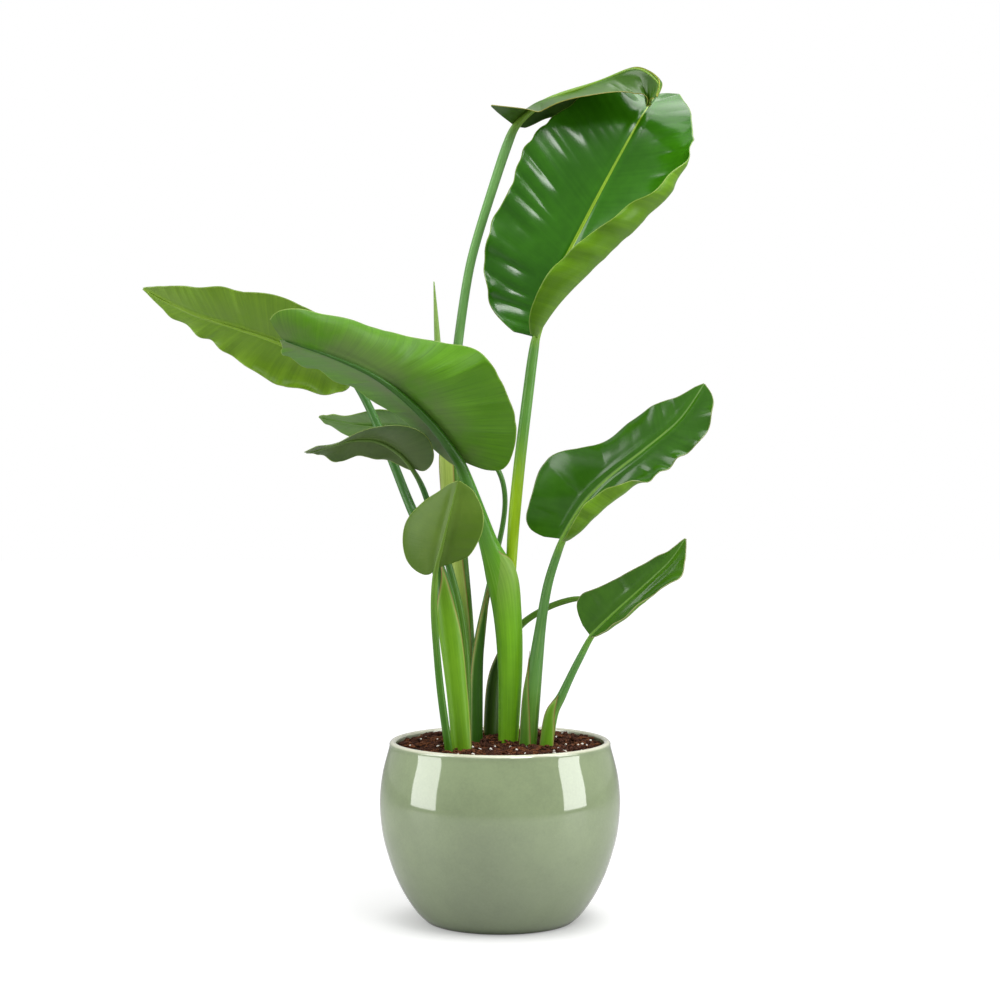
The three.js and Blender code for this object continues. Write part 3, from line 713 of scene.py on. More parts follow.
def make_tube(name, line, span_rings, material, slot, node, keel_spans=0):
    """A closed round stalk: a grid rolled up along its line, joined at its seam and closed at its ends."""
    rings = span_rings * (len(line) - 1) + 1
    spots, across, back = tube_rings(line, rings)
    angles = 2 * math.pi * (np.arange(TUBE_SIDES + 1) % TUBE_SIDES)[None] / TUBE_SIDES
    measures = round_measures(spots, angles)
    if keel_spans:
        keel_foot = rings - 1 - span_rings * keel_spans
        on_keel = risen(np.arange(rings), keel_foot, keel_foot + span_rings)
        measures["keel"] = np.repeat(on_keel[:, None], TUBE_SIDES + 1, axis=1)
    bm = bent_grid(round_places(spots, across, back, angles), measures)
    bmesh.ops.remove_doubles(bm, verts=bm.verts, dist=1e-7)
    ends = [edge for edge in bm.edges if edge.is_boundary]
    bmesh.ops.holes_fill(bm, edges=ends, sides=0)
    bmesh.ops.recalc_face_normals(bm, faces=bm.faces)
    add_piece(name, bm, material, slot, node)


def make_sheath(name, material):
    """The sheath round a stalk's foot: a curved sheet whose two margins meet in a point."""
    reach, left, right = SHEATHS[name]
    line = stalk_line(LEAVES[name])
    last = round(reach * SHEATH_RINGS * (len(LEAVES[name]["stalk"]) - 1))
    spots, across, back = (rows[:last + 1] for rows in tube_rings(line, SHEATH_RINGS * (len(line) - 1) + 1))
    v = np.linspace(0, 1, len(spots))
    low, high = (np.radians(along(margin, v))[:, None] for margin in (left, right))
    share = np.linspace(0, 1, SHEATH_SIDES + 1)[None]
    angles = low + (high - low) * share
    girth = (spots[:, 3] + spots[:, 4])[:, None] / 2
    from_left, from_right = share * (high - low) * girth, (1 - share) * (high - low) * girth
    flush = name in FLUSH_SHEATHS
    from_edge = from_right if flush else np.minimum(from_left, from_right)
    open_tip = 0.5 * v[:, None] ** 2
    turned_margin = 0.35 * np.exp(-from_edge / 1.6)
    flare = 0.35 + open_tip + turned_margin
    if flush:
        flare = flare * risen(from_left, 0, 9) - 0.3 * np.exp(-from_left / 2)
    measures = {**round_measures(spots, angles), "margin": from_edge}
    bm = bent_grid(round_places(spots, across, back, angles, flare), measures)
    bmesh.ops.remove_doubles(bm, verts=bm.verts, dist=1e-6)
    piece = add_piece(f"{name}_sheath", bm, material, "stalk", f"{name}_stalk")
    thicken(piece, SHEATH_THICKNESS, -1)


# Pot and soil


def soil_height(x, y):
    """Height of the soil's gentle heap in mm, higher at the back and lumpy inside its edge."""
    radius = np.hypot(x, y) / SOIL_RADIUS
    rise = 4 * (y / SOIL_RADIUS) * (1 - radius**4) + 3 * (1 - radius**2)
    lumps = 1.3 * np.sin(x / 7 + 2 * np.cos(y / 11)) * np.cos(y / 8 - np.sin(x / 13))
    return SOIL_LEVEL - 1.5 + rise + lumps * (1 - radius**6)


def soil_top(x, y):
    """Height in mm of the soil's rough top, with its crumbs pressed into it."""
    spot = Vector((x, y, 0))
    edge = min(math.hypot(x, y) / SOIL_RADIUS, 1)
    rough = 1.8 * noise.fractal(spot / 9, 0.9, 2.1, 4) + 1.6 * noise.turbulence(spot / 4, 3, False)
    return float(soil_height(x, y)) - 0.9 + rough * (1 - 0.6 * edge**4)


def make_pot(settings, material):
    """The pot: its wall's outline turned once round the upright axis."""
    corners = POT_OUTSIDE + POT_LIP + POT_INSIDE
    wall = along(corners, np.linspace(0, 1, POT_CURVE_STEPS * (len(corners) - 1) + 1))
    bm = bmesh.new()
    outline = [*POT_FOOT, *wall, (0, POT_FLOOR)]
    verts = [bm.verts.new((radius * MM, 0, height * MM)) for radius, height in outline]
    edges = [bm.edges.new(pair) for pair in zip(verts, verts[1:])]
    bmesh.ops.spin(
        bm, geom=verts + edges, cent=(0, 0, 0), axis=(0, 0, 1), angle=2 * math.pi,
        steps=settings.rounds, use_merge=True, use_duplicate=False,
    )
    bmesh.ops.remove_doubles(bm, verts=bm.verts, dist=1e-6)
    bmesh.ops.recalc_face_normals(bm, faces=bm.faces)
    add_piece("glazed_pot", bm, material, "glaze", "pot")


def make_soil(material):
    """The soil: a disc with a rough top, drawn down the inside of the pot and closed at its floor."""
    bm = bmesh.new()
    bmesh.ops.create_grid(bm, x_segments=SOIL_CELLS, y_segments=SOIL_CELLS, size=1)
    for vert in bm.verts:
        x, y = vert.co.x, vert.co.y
        x, y = x * math.sqrt(1 - y * y / 2) * SOIL_RADIUS, y * math.sqrt(1 - x * x / 2) * SOIL_RADIUS
        vert.co = Vector((x, y, soil_top(x, y))) * MM
    rim = [edge for edge in bm.edges if edge.is_boundary]
    for radius, height in [SOIL_RIM, *POT_INSIDE[1:]]:
        made = bmesh.ops.extrude_edge_only(bm, edges=rim)["geom"]
        for vert in (part for part in made if isinstance(part, bmesh.types.BMVert)):
            flat = vert.co.xy.normalized() * (radius - SOIL_GAP)
            vert.co = Vector((flat.x, flat.y, max(height, SOIL_FLOOR))) * MM
        rim = [part for part in made if isinstance(part, bmesh.types.BMEdge)]
    bmesh.ops.holes_fill(bm, edges=rim, sides=0)
    bmesh.ops.recalc_face_normals(bm, faces=bm.faces)
    add_piece("soil_bed", bm, material, "potting_soil", "soil")


def scattered(dice, reach):
    """A random place on the soil, its radius up to a share of the soil's."""
    radius = SOIL_RADIUS * reach * math.sqrt(dice.random())
    turn = dice.uniform(0, 2 * math.pi)
    return radius * math.cos(turn), radius * math.sin(turn)


def strew(bm, verts, dice, x, y, lift, tilt):
    """Put a grain of verts in mm on the soil, tilted by up to so many degrees and turned to any side."""
    pitch, roll = (math.radians(dice.uniform(-tilt, tilt)) for _ in range(2))
    turn = Euler((pitch, roll, dice.uniform(0, 6.3))).to_matrix().to_4x4()
    place = Matrix.Translation((x, y, soil_top(x, y) + lift)) @ turn
    bmesh.ops.transform(bm, matrix=Matrix.Scale(MM, 4) @ place, verts=verts)


def make_grains(name, count, sizes, reach, lift, material, seed):
    """Rough grains strewn over the soil: each is a small ball knocked out of shape."""
    dice = random.Random(seed)
    bm = bmesh.new()
    for _ in range(count):
        x, y = scattered(dice, reach)
        size = dice.uniform(*sizes)
        verts = bmesh.ops.create_icosphere(bm, subdivisions=1, radius=1)["verts"]
        stretch = Vector((dice.uniform(0.8, 1.5), dice.uniform(0.7, 1.1), dice.uniform(0.5, 0.9)))
        shift = Vector((dice.uniform(0, 90), dice.uniform(0, 90), 0))
        for vert in verts:
            bulge = 1 + 0.4 * noise.noise(vert.co * 2.2 + shift)
            vert.co = vert.co.normalized() * bulge * stretch * size
        strew(bm, verts, dice, x, y, lift * size, 35)
    add_piece(name, bm, material, "potting_soil")


def make_fibres(name, count, material, seed):
    """Coarse bent fibres and bark chips lying on the soil: each is a bar, twisted, bent and tapered."""
    dice = random.Random(seed)
    bm = bmesh.new()
    for _ in range(count):
        x, y = scattered(dice, FIBRE_REACH)
        long, thick = dice.uniform(5, 18), dice.uniform(1.2, 4.2)
        lower = bmesh.ops.create_grid(bm, x_segments=6, y_segments=1, size=0.5)["verts"]
        faces = list({face for vert in lower for face in vert.link_faces})
        raised = bmesh.ops.extrude_face_region(bm, geom=faces)["geom"]
        upper = [part for part in raised if isinstance(part, bmesh.types.BMVert)]
        bend, twist, bow = dice.uniform(-0.5, 0.5), dice.uniform(-0.8, 0.8), dice.uniform(-0.1, 0.25)
        for vert in upper:
            vert.co.z = 1
        for vert in {*lower, *upper}:
            slender = thick * (1 - 0.8 * abs(2 * vert.co.x) ** 3)
            span, rise = vert.co.x, 1 - 4 * vert.co.x**2
            across = vert.co.y * slender * math.cos(twist * span) + bend * long * rise * 0.3
            height = (vert.co.z - 0.5) * slender * 0.6 + bow * long * rise * 0.3
            vert.co = Vector((span * long, across, height))
        strew(bm, [*lower, *upper], dice, x, y, 0.5, 9)
    bmesh.ops.recalc_face_normals(bm, faces=bm.faces)
    add_piece(name, bm, material, "potting_soil")


# Materials

SHADER_SOCKETS = {
    "roughness": "Roughness", "specular": "Specular IOR Level", "coat": "Coat Weight",
    "coat_roughness": "Coat Roughness", "coat_ior": "Coat IOR", "emission": "Emission Strength",
}


class Wire:
    """A value in a material's nodes. Arithmetic on it adds the Math nodes that work it out."""

    def __init__(self, finish, socket):
        self.finish = finish
        self.socket = socket

    def maths(self, operation, *values):
        return self.finish.node("Math", {"operation": operation}, *values)

    def __add__(self, other):
        return self.maths("ADD", self, other)

    __radd__ = __add__

    def __mul__(self, other):
        return self.maths("MULTIPLY", self, other)

    __rmul__ = __mul__

    def __sub__(self, other):
        return self.maths("SUBTRACT", self, other)

    def __rsub__(self, other):
        return self.maths("SUBTRACT", other, self)

    def __pow__(self, other):
        return self.maths("POWER", self, other)

    def __abs__(self):
        return self.maths("ABSOLUTE", self)

    def ramp(self, low, high, start=0.0, end=1.0):
        """The value moved smoothly from the range low to high onto start to end."""
        settings = {"interpolation_type": "SMOOTHSTEP"}
        return self.finish.node("MapRange", settings, self, low, high, start, end)


class Finish:
    """A material whose nodes are added one by one, with a Principled shader of its own."""

    def __init__(self, name, **constants):
        self.material = bpy.data.materials.new(name)
        self.material.use_nodes = True
        self.tree = self.material.node_tree
        self.shader = self.tree.nodes["Principled BSDF"]
        for key, value in constants.items():
            self.shader.inputs[SHADER_SOCKETS[key]].default_value = value

    def node(self, kind, settings, *values, output=0, **named):
        """A node of a kind, with its settings first and then the values or links of its sockets."""
        made = self.tree.nodes.new("ShaderNode" + kind)
        for key, value in settings.items():
            setattr(made, key, value)
        sockets = [socket for socket in made.inputs if socket.enabled]
        pairs = list(zip(sockets, values)) + [(made.inputs[key], value) for key, value in named.items()]
        for socket, value in pairs:
            self.put(socket, value)
        outputs = [socket for socket in made.outputs if socket.enabled]
        found = made.outputs[output] if isinstance(output, str) else outputs[output]
        return Wire(self, found)

    def put(self, socket, value):
        """Give a socket its value or its link."""
        if isinstance(value, Wire):
            self.tree.links.new(value.socket, socket)
        elif isinstance(value, (tuple, list)) and len(value) == 3 and socket.type == "RGBA":
            socket.default_value = (*value, 1)
        else:
            socket.default_value = value

    def attribute(self, name):
        """A number that the piece's mesh carries at each point."""
        return self.node("Attribute", {"attribute_name": name}, output="Fac")

    def place(self):
        """The place on the piece, in metres."""
        return self.node("TexCoord", {}, output="Object")

    def joined(self, x, y, z=0.0):
        """A place from its three parts, or a grey from three equal ones."""
        return self.node("CombineXYZ", {}, x, y, z)

    def height(self):
        """How high the place is, in metres."""
        return self.node("SeparateXYZ", {}, self.place(), output="Z")

    def from_axis(self):
        """How far the place is from the upright axis, in metres."""
        place = self.place()
        x, y = (self.node("SeparateXYZ", {}, place, output=key) for key in "XY")
        return (x * x + y * y) ** 0.5

    def noise(self, scale, detail=3.0, roughness=0.5, at=None):
        """A cloudy value round 0.5, with about scale lumps to the unit."""
        spot = self.place() if at is None else at
        return self.node(
            "TexNoise", {"noise_dimensions": "3D"}, output="Fac",
            Vector=spot, Scale=scale, Detail=detail, Roughness=roughness,
        )

    def mixed(self, factor, first, second):
        """A colour between two colours."""
        return self.node("Mix", {"data_type": "RGBA", "clamp_factor": True}, factor, first, second)

    def dimmed(self, colour, factors):
        """A colour times one factor each for red, green and blue."""
        return self.node("Mix", {"data_type": "RGBA", "blend_type": "MULTIPLY"}, 1.0, colour, factors)

    def colour(self, value):
        self.put(self.shader.inputs["Base Color"], value)

    def roughness(self, value):
        self.put(self.shader.inputs["Roughness"], value)

    def bump(self, height, distance, strength=1.0):
        """Relief from a height of 0 to 1, as deep as distance in metres."""
        relief = self.node("Bump", {}, Height=height, Strength=strength, Distance=distance)
        self.put(self.shader.inputs["Normal"], relief)


def srgb(red, green, blue):
    """A colour on the screen's scale of 0 to 255 as the shader's linear colour."""
    def linear(value):
        value = value / 255
        return value / 12.92 if value <= 0.04045 else ((value + 0.055) / 1.055) ** 2.4
    return tuple(linear(value) for value in (red, green, blue))


def tinted(colour, factor):
    """A colour times a factor, or times one each for red, green and blue, and at most 1."""
    factors = factor if isinstance(factor, tuple) else (factor, factor, factor)
    return tuple(min(value * share, 1.0) for value, share in zip(colour, factors))


def shades(colour, factors):
    """Lighter and darker kinds of one colour, under the names of their factors."""
    return {name: tinted(colour, factor) for name, factor in factors.items()}


# Colours that no setting changes
YELLOW_RIB = srgb(164, 200, 52)
GREEN_RIB = srgb(112, 152, 76)
YOUNG_RIB = srgb(150, 186, 80)
# the pale rims of the blades, partly painted edge highlights
YELLOW_RIM_AND_HIGHLIGHT = srgb(150, 178, 78)
PALE_RIM_AND_HIGHLIGHT = srgb(160, 184, 90)
# a waxy grey bloom that is partly a painted sheen
GREY_BLOOM_AND_SHEEN = srgb(102, 119, 73)
PALE_FIBRES = srgb(176, 204, 120)
PALE_MARGIN = srgb(170, 186, 104)
DRY_MARGIN = srgb(142, 108, 60)
# painted light on the pot's inner wall under the lip
INNER_WALL_LIGHT = srgb(202, 210, 186)
SOIL_BROWN = srgb(134, 96, 64)
FIBRE_BROWNS = (srgb(44, 25, 17), srgb(136, 84, 54))
PERLITE_WHITES = (srgb(226, 220, 206), srgb(255, 253, 248))

# Factors for red, green and blue that make the shades of a blade's faces from its colour
TOP_SHADES = {"deep": (0.72, 0.76, 0.6), "light": (1.3, 1.2, 1.3), "rib_side": (1.5, 1.35, 1.2)}
YOUNG_SHADES = {"deep": (0.8, 0.82, 0.7), "light": (1.15, 1.12, 1.1), "rib_side": (1.1, 1.1, 1.0)}
UNDERSIDE_SHADES = {"deep": (0.76, 0.8, 0.74), "light": (1.22, 1.16, 1.2), "vein": (0.5, 0.58, 0.5)}


def top_colours(name, settings):
    """The colours of a leaf's upper face."""
    if name == YOUNG_LEAF:
        colours = {**shades(settings.young, YOUNG_SHADES), "rib": YOUNG_RIB, "rim": PALE_RIM_AND_HIGHLIGHT}
    else:
        colours = {**shades(settings.top, TOP_SHADES), "rib": YELLOW_RIB, "rim": YELLOW_RIM_AND_HIGHLIGHT}
    # some leaves' tints, partly a painted sheen
    colours = {key: tinted(colour, TOP_TINTS_AND_SHEENS.get(name, 1.0)) for key, colour in colours.items()}
    if name not in YELLOW_RIBS:
        colours["rib"] = GREEN_RIB
    return colours


def underside_colours(name):
    """The colours of a leaf's lower face."""
    face, rib, _ = UNDERSIDES[name]
    colours = shades(srgb(*face), UNDERSIDE_SHADES)
    return {**colours, "rib": srgb(*rib), "rim": PALE_RIM_AND_HIGHLIGHT, "bloom": GREY_BLOOM_AND_SHEEN}


def vein_values(finish):
    """How far a blade's points are beside its midrib's edge, and its side veins' stripes from 0 to 1."""
    spot = finish.joined(finish.attribute("onward") * 0.9, finish.attribute("from_rib") * 0.012)
    fine = finish.noise(1.0, 2.0, 0.5, at=spot)
    broad = finish.noise(0.22, 3.0, 0.5, at=spot)
    return finish.attribute("beside_rib"), fine, broad


def striped(finish, stripes, colours):
    """A blade's colour between its deep and its light one."""
    return finish.mixed(stripes.ramp(0.4, 0.76), colours["deep"], colours["light"])


def rimmed_and_edge_lit(finish, base, colours):
    """A blade's colour with its thin pale rim, which is partly a painted edge highlight."""
    rim = finish.attribute("from_rim").ramp(0.3, 1.1, 1.0, 0.0)
    return finish.mixed(rim * 0.6, base, colours["rim"])


def leaf_top(name, settings):
    """The glossy upper face: dark green, faintly striped by its side veins, with a pale midrib and rim."""
    young = name == YOUNG_LEAF
    colours = top_colours(name, settings)
    finish = Finish(f"{name}_top", specular=0.25 if young else 0.55)
    beside_rib, fine, broad = vein_values(finish)
    clouds = finish.noise(34.0 if young else 16.0, 4.0, 0.6)
    stripes = broad * 0.04 + clouds if young else fine * 0.06 + broad * 0.24 + clouds * 0.76
    base = striped(finish, stripes, colours)
    near_rib = beside_rib.ramp(0.0, 9.0, 1.0, 0.0)
    base = finish.mixed(near_rib * 0.35, base, colours["rib_side"])
    rib = beside_rib.ramp(-0.5, 0.6, 1.0, 0.0)
    base = finish.mixed(rib * (0.12 if young else clouds * 0.3 + 0.78), base, colours["rib"])
    finish.colour(rimmed_and_edge_lit(finish, base, colours))
    finish.roughness(clouds * 0.18 + broad * 0.05 + MATT_TOPS.get(name, MATT))
    grain = finish.noise(700.0, 2.0, 0.5)
    finish.bump(fine * 0.2 + grain * 0.1, 0.0002, 0.5)
    return finish.material


def leaf_under(name):
    """The lower face: a matte green with dark side veins and a grey bloom, partly a painted sheen, strongest
    at the midrib.
    """
    young = name == YOUNG_LEAF
    colours = underside_colours(name)
    finish = Finish(f"{name}_underside", specular=0.25)
    beside_rib, fine, broad = vein_values(finish)
    clouds = finish.noise(13.0, 4.0, 0.6)
    stripes = broad * 0.06 + clouds * 0.97 if young else fine * 0.2 + broad * 0.35 + clouds * 0.55
    base = striped(finish, stripes, colours)
    veins = abs(broad - 0.5).ramp(0.0, 0.03, 1.0, 0.0) * clouds.ramp(0.35, 0.6, 0.3, 1.0)
    base = finish.mixed(veins * VEINED_UNDERSIDES.get(name, VEINED), base, colours["vein"])
    # the grey bloom is partly a painted sheen
    left_bloom_and_sheen, right_bloom_and_sheen = UNDERSIDES[name][2]
    sides = finish.attribute("from_rib").ramp(-6.0, 6.0, left_bloom_and_sheen, right_bloom_and_sheen)
    bloom = beside_rib.ramp(4.0, 52.0, 1.0, 0.1) * sides * clouds.ramp(0.34, 0.58)
    base = finish.mixed(bloom, base, colours["bloom"])
    rib = beside_rib.ramp(0.5, 4.0, 1.0, 0.0)
    base = finish.mixed(rib * (0.15 if young else 0.5), base, colours["rib"])
    finish.colour(rimmed_and_edge_lit(finish, base, colours))
    finish.roughness(clouds * 0.2 + fine * 0.08 + 0.24)
    grain = finish.noise(700.0, 2.0, 0.5)
    finish.bump(fine * 0.9 + grain * 0.15, 0.0003, 0.5)
    return finish.material


def fibre_values(finish):
    """Lengthwise fibres of a stalk and soft clouds, both from 0 to 1."""
    lateral, frontal, onward = (finish.attribute(key) for key in ("lateral", "frontal", "onward"))
    spot = finish.joined(lateral * 9.0, frontal * 9.0, onward * 0.012)
    return finish.noise(1.0, 3.0, 0.6, at=spot), finish.noise(24.0, 4.0, 0.6)


def fibrous(finish, base, factors, streaks):
    """A stalk's colour, darker by the factors where its streaks are low."""
    return finish.mixed(streaks.ramp(0.34, 0.62), finish.dimmed(base, factors), base)


def stalk_finish(name, greens, keel=None):
    """The smooth stalk: one green at its foot and another above, with a keel of its own colour."""
    foot, top, low, high = greens
    finish = Finish(name, specular=0.35)
    fibres, clouds = fibre_values(finish)
    level = (finish.height() + clouds * 0.04 - 0.02).ramp(low * MM, high * MM)
    base = finish.mixed(level, srgb(*foot), srgb(*top))
    base = fibrous(finish, base, (0.74, 0.8, 0.72), fibres * 0.55 + clouds * 0.45)
    base = finish.mixed(fibres.ramp(0.58, 0.7) * 0.28, base, PALE_FIBRES)
    if keel:
        base = finish.mixed(finish.attribute("keel") * 0.9, base, keel)
    finish.colour(base)
    finish.roughness(clouds * 0.18 + 0.22)
    finish.bump(fibres, 0.00022, 0.4)
    return finish.material


def sheath_finish(name, greens):
    """A clasping sheath: fibrous green, paler at its tip, with a thin dry brown margin."""
    foot, tip = greens
    finish = Finish(name, specular=0.3)
    fibres, clouds = fibre_values(finish)
    onward, margin = finish.attribute("onward"), finish.attribute("margin")
    reach = (onward + clouds * 30.0 - 15.0).ramp(130.0, 215.0)
    base = finish.mixed(reach, srgb(*foot), srgb(*tip))
    base = fibrous(finish, base, (0.72, 0.79, 0.68), fibres * 0.6 + clouds * 0.4)
    pale = margin.ramp(0.6, 3.4, 1.0, 0.0)
    base = finish.mixed(pale * 0.5, base, PALE_MARGIN)
    dry = (margin + clouds * 1.4).ramp(0.9, 1.9, 1.0, 0.0)
    finish.colour(finish.mixed(dry * 0.85, base, DRY_MARGIN))
    finish.roughness(clouds * 0.2 + 0.3)
    finish.bump(fibres, 0.0003, 0.5)
    return finish.material


def glaze_finish(settings):
    """Sage glaze: a thin clear coat over a cloudy grey-green, cream where it thins on the lip, which is
    partly a painted highlight, with painted light on the inner wall under the lip and painted shade towards
    the foot.
    """
    finish = Finish("sage_glaze", specular=0.05, coat=1.0, coat_roughness=0.05, coat_ior=1.95)
    clouds = finish.noise(11.0, 5.0, 0.7)
    specks = finish.noise(420.0, 3.0, 0.6)
    cloudy = (clouds * 0.75 + specks * 0.25).ramp(0.32, 0.68)
    base = finish.mixed(cloudy, tinted(settings.glaze, 0.9), tinted(settings.glaze, 1.1))
    height = finish.height()
    # painted light: the inner wall under the lip is made pale
    lit_inner_wall = finish.from_axis().ramp(0.1062, 0.1086, 1.0, 0.0) * height.ramp(0.12, 0.17)
    base = finish.mixed(lit_inner_wall * 0.8, base, INNER_WALL_LIGHT)
    # cream where the glaze thins on the lip, partly a painted highlight along it
    lip = (height + clouds * 0.0012).ramp(0.1776, 0.1798)
    base = finish.mixed(lip * 0.8, base, tuple(settings.lip))
    # painted shade: the glaze turns darker towards the foot
    painted_foot_shade = height.ramp(0.0, 0.15, 0.4, 0.0) + height.ramp(0.0, 0.007, 0.5, 0.0)
    finish.colour(finish.mixed(painted_foot_shade, base, tinted(settings.glaze, 0.35)))
    finish.roughness(clouds * 0.1 + 0.28)
    finish.bump(clouds * 0.8 + specks * 0.05, 0.0003, 0.3)
    return finish.material


def soil_finish(settings):
    """Dark, damp potting soil with browner fibres in it."""
    finish = Finish("potting_soil", roughness=0.9, specular=0.1)
    lumps = finish.noise(160.0, 6.0, 0.7)
    fibres = finish.noise(420.0, 4.0, 0.6)
    base = finish.mixed(lumps.ramp(0.34, 0.68), tinted(settings.soil, 0.35), tinted(settings.soil, 1.7))
    finish.colour(finish.mixed(fibres.ramp(0.58, 0.72, 0.0, 0.7), base, SOIL_BROWN))
    finish.bump(lumps + fibres * 0.5, 0.0016, 0.9)
    return finish.material


def grain_finish(name, deep, light):
    """Small grains: pale perlite, or brown crumbs and fibres of soil."""
    finish = Finish(name, roughness=0.85, specular=0.1)
    lumps = finish.noise(700.0, 3.0, 0.6)
    finish.colour(finish.mixed(lumps.ramp(0.35, 0.65), deep, light))
    finish.bump(lumps, 0.0004, 0.8)
    return finish.material


def floor_finish(settings):
    """The pale floor, which shines a little by itself away from the pot, so that its edge isn't seen, and
    shines less right beside the pot as a painted shadow.
    """
    finish = Finish("pale_floor", roughness=0.6, specular=0.3, emission=1.0)
    away = finish.from_axis()
    grey = away.ramp(0.3, 2.0, 0.5, 0.12)
    finish.colour(finish.joined(grey, grey, grey))
    seen = finish.node("LightPath", {}, output="Is Camera Ray")
    # painted shadow: the floor's glow drops close to the pot
    painted_pot_shadow = away.ramp(0.065, 0.13, 0.5, 1.0)
    glow = painted_pot_shadow * away.ramp(0.2, 2.2, settings.floor_glow, 1.0) * (seen * 0.82 + 0.18)
    finish.put(finish.shader.inputs["Emission Color"], finish.joined(glow, glow, glow))
    return finish.material


# Sizes and colours that a user can change


class LeafSettings(bpy.types.PropertyGroup):
    """Pleats and colours of the leaves."""

    pleat_pitch: bpy.props.FloatProperty(
        name="Pleat spacing", description="Distance between two side-vein pleats along the midrib",
        default=0.014, min=0.002, unit="LENGTH",
    )
    pleat_depth: bpy.props.FloatProperty(
        name="Pleat depth", description="How deep the side-vein pleats are pressed",
        default=0.0006, min=0.0, unit="LENGTH",
    )
    top: bpy.props.FloatVectorProperty(
        name="Top", description="Colour of the leaves' upper faces",
        default=srgb(50, 113, 8), min=0.0, max=1.0, subtype="COLOR",
    )
    young: bpy.props.FloatVectorProperty(
        name="Young leaf", description="Colour of the youngest leaf",
        default=srgb(90, 126, 36), min=0.0, max=1.0, subtype="COLOR",
    )


class PotSettings(bpy.types.PropertyGroup):
    """Colours of the pot and of what fills it."""

    rounds: bpy.props.IntProperty(
        name="Steps round", description="Steps in which the pot's wall is turned round",
        default=120, min=24,
    )
    glaze: bpy.props.FloatVectorProperty(
        name="Glaze", description="Colour of the pot's glaze",
        default=srgb(141, 157, 117), min=0.0, max=1.0, subtype="COLOR",
    )
    # the lip's cream is partly a painted highlight
    lip: bpy.props.FloatVectorProperty(
        name="Lip", description="Colour of the thin glaze on the pot's lip",
        default=srgb(232, 230, 208), min=0.0, max=1.0, subtype="COLOR",
    )
    soil: bpy.props.FloatVectorProperty(
        name="Soil", description="Colour of the potting soil",
        default=srgb(58, 34, 25), min=0.0, max=1.0, subtype="COLOR",
    )
    crumbs: bpy.props.IntProperty(
        name="Crumbs", description="Loose crumbs on the soil", default=620, min=0,
    )
    fibres: bpy.props.IntProperty(
        name="Fibres", description="Coarse fibres and bark chips on the soil", default=700, min=0,
    )
    perlite: bpy.props.IntProperty(
        name="Perlite", description="White grains in the soil's top", default=90, min=0,
    )


class StageSettings(bpy.types.PropertyGroup):
    """Light and camera."""

    daylight: bpy.props.FloatProperty(
        name="Surrounding light", description="Strength of the even white light all round",
        default=0.22, min=0.0,
    )
    floor_glow: bpy.props.FloatProperty(
        name="Floor glow", description="How much the floor round the pot shines by itself",
        default=0.55, min=0.0, max=1.0,
    )
    softbox: bpy.props.FloatProperty(
        name="Softbox power", description="Power of each of the two tall softboxes",
        default=15.0, min=0.0, unit="POWER",
    )
    top_softbox: bpy.props.FloatProperty(
        name="Top softbox power", description="Power of the softbox above the plant",
        default=12.0, min=0.0, unit="POWER",
    )
    back_softbox: bpy.props.FloatProperty(
        name="Back softbox power", description="Power of the softbox above the plant, behind it",
        default=14.0, min=0.0, unit="POWER",
    )
    front_softbox: bpy.props.FloatProperty(
        name="Front softbox power", description="Power of the softbox high above the camera",
        default=10.0, min=0.0, unit="POWER",
    )
    small_softbox: bpy.props.FloatProperty(
        name="Small softbox power",
        description="Power of the small softbox on the right that lights the creases",
        default=14.0, min=0.0, unit="POWER",
    )
    lens: bpy.props.FloatProperty(
        name="Lens", description="Focal length of the camera", default=81.3, min=10.0, unit="CAMERA",
    )


# Operators, one for each group of pieces


class BuildBlades(bpy.types.Operator):
    """Build the ten blades with their pleats"""

    bl_idname = "plant.build_blades"
    bl_label = "Blades"

    def execute(self, context):
        settings = context.scene.plant_leaves
        for seed, name in enumerate(LEAVES):
            slot = "young_leaf" if name == YOUNG_LEAF else "leaf"
            make_blade(name, settings, leaf_top(name, settings), leaf_under(name), slot, seed)
        return {"FINISHED"}


class BuildStalks(bpy.types.Operator):
    """Build the stalks with their midribs, and the sheaths that clasp them"""

    bl_idname = "plant.build_stalks"
    bl_label = "Stalks"

    def execute(self, context):
        for name, leaf in LEAVES.items():
            keel = srgb(*UNDERSIDES[name][1])
            green = stalk_finish(f"{name}_stem_green", STALKS[name], keel)
            line = stalk_line(leaf)
            make_tube(f"{name}_stem", line, STEM_RINGS, green, "stalk", f"{name}_stalk", len(KEEL_SHARES))
        for name in SHEATHS:
            make_sheath(name, sheath_finish(f"{name}_sheath_green", SHEATH_COLOURS[name]))
        return {"FINISHED"}


class BuildNewLeaf(bpy.types.Operator):
    """Build the rolled new leaf"""

    bl_idname = "plant.build_new_leaf"
    bl_label = "Rolled New Leaf"

    def execute(self, context):
        green = stalk_finish("rolled_leaf", SPEAR_COLOURS)
        make_tube("rolled_new_leaf_spear", SPEAR, SPEAR_RINGS, green, "young_leaf", "rolled_new_leaf")
        return {"FINISHED"}


class BuildPot(bpy.types.Operator):
    """Build the glazed pot"""

    bl_idname = "plant.build_pot"
    bl_label = "Pot"

    def execute(self, context):
        settings = context.scene.plant_pot
        make_pot(settings, glaze_finish(settings))
        return {"FINISHED"}


class BuildSoil(bpy.types.Operator):
    """Build the soil's rough bed with its crumbs, fibres and perlite"""

    bl_idname = "plant.build_soil"
    bl_label = "Soil"

    def execute(self, context):
        settings = context.scene.plant_pot
        make_soil(soil_finish(settings))
        crumb = grain_finish("soil_crumb", tinted(settings.soil, 0.4), tinted(settings.soil, 2.3))
        fibre = grain_finish("soil_fibre", *FIBRE_BROWNS)
        perlite = grain_finish("perlite", *PERLITE_WHITES)
        make_grains("soil_crumbs", settings.crumbs, *CRUMBS, crumb, SEED)
        make_fibres("soil_fibres", settings.fibres, fibre, SEED + 1)
        make_grains("perlite_grains", settings.perlite, *PERLITE, perlite, SEED + 2)
        return {"FINISHED"}


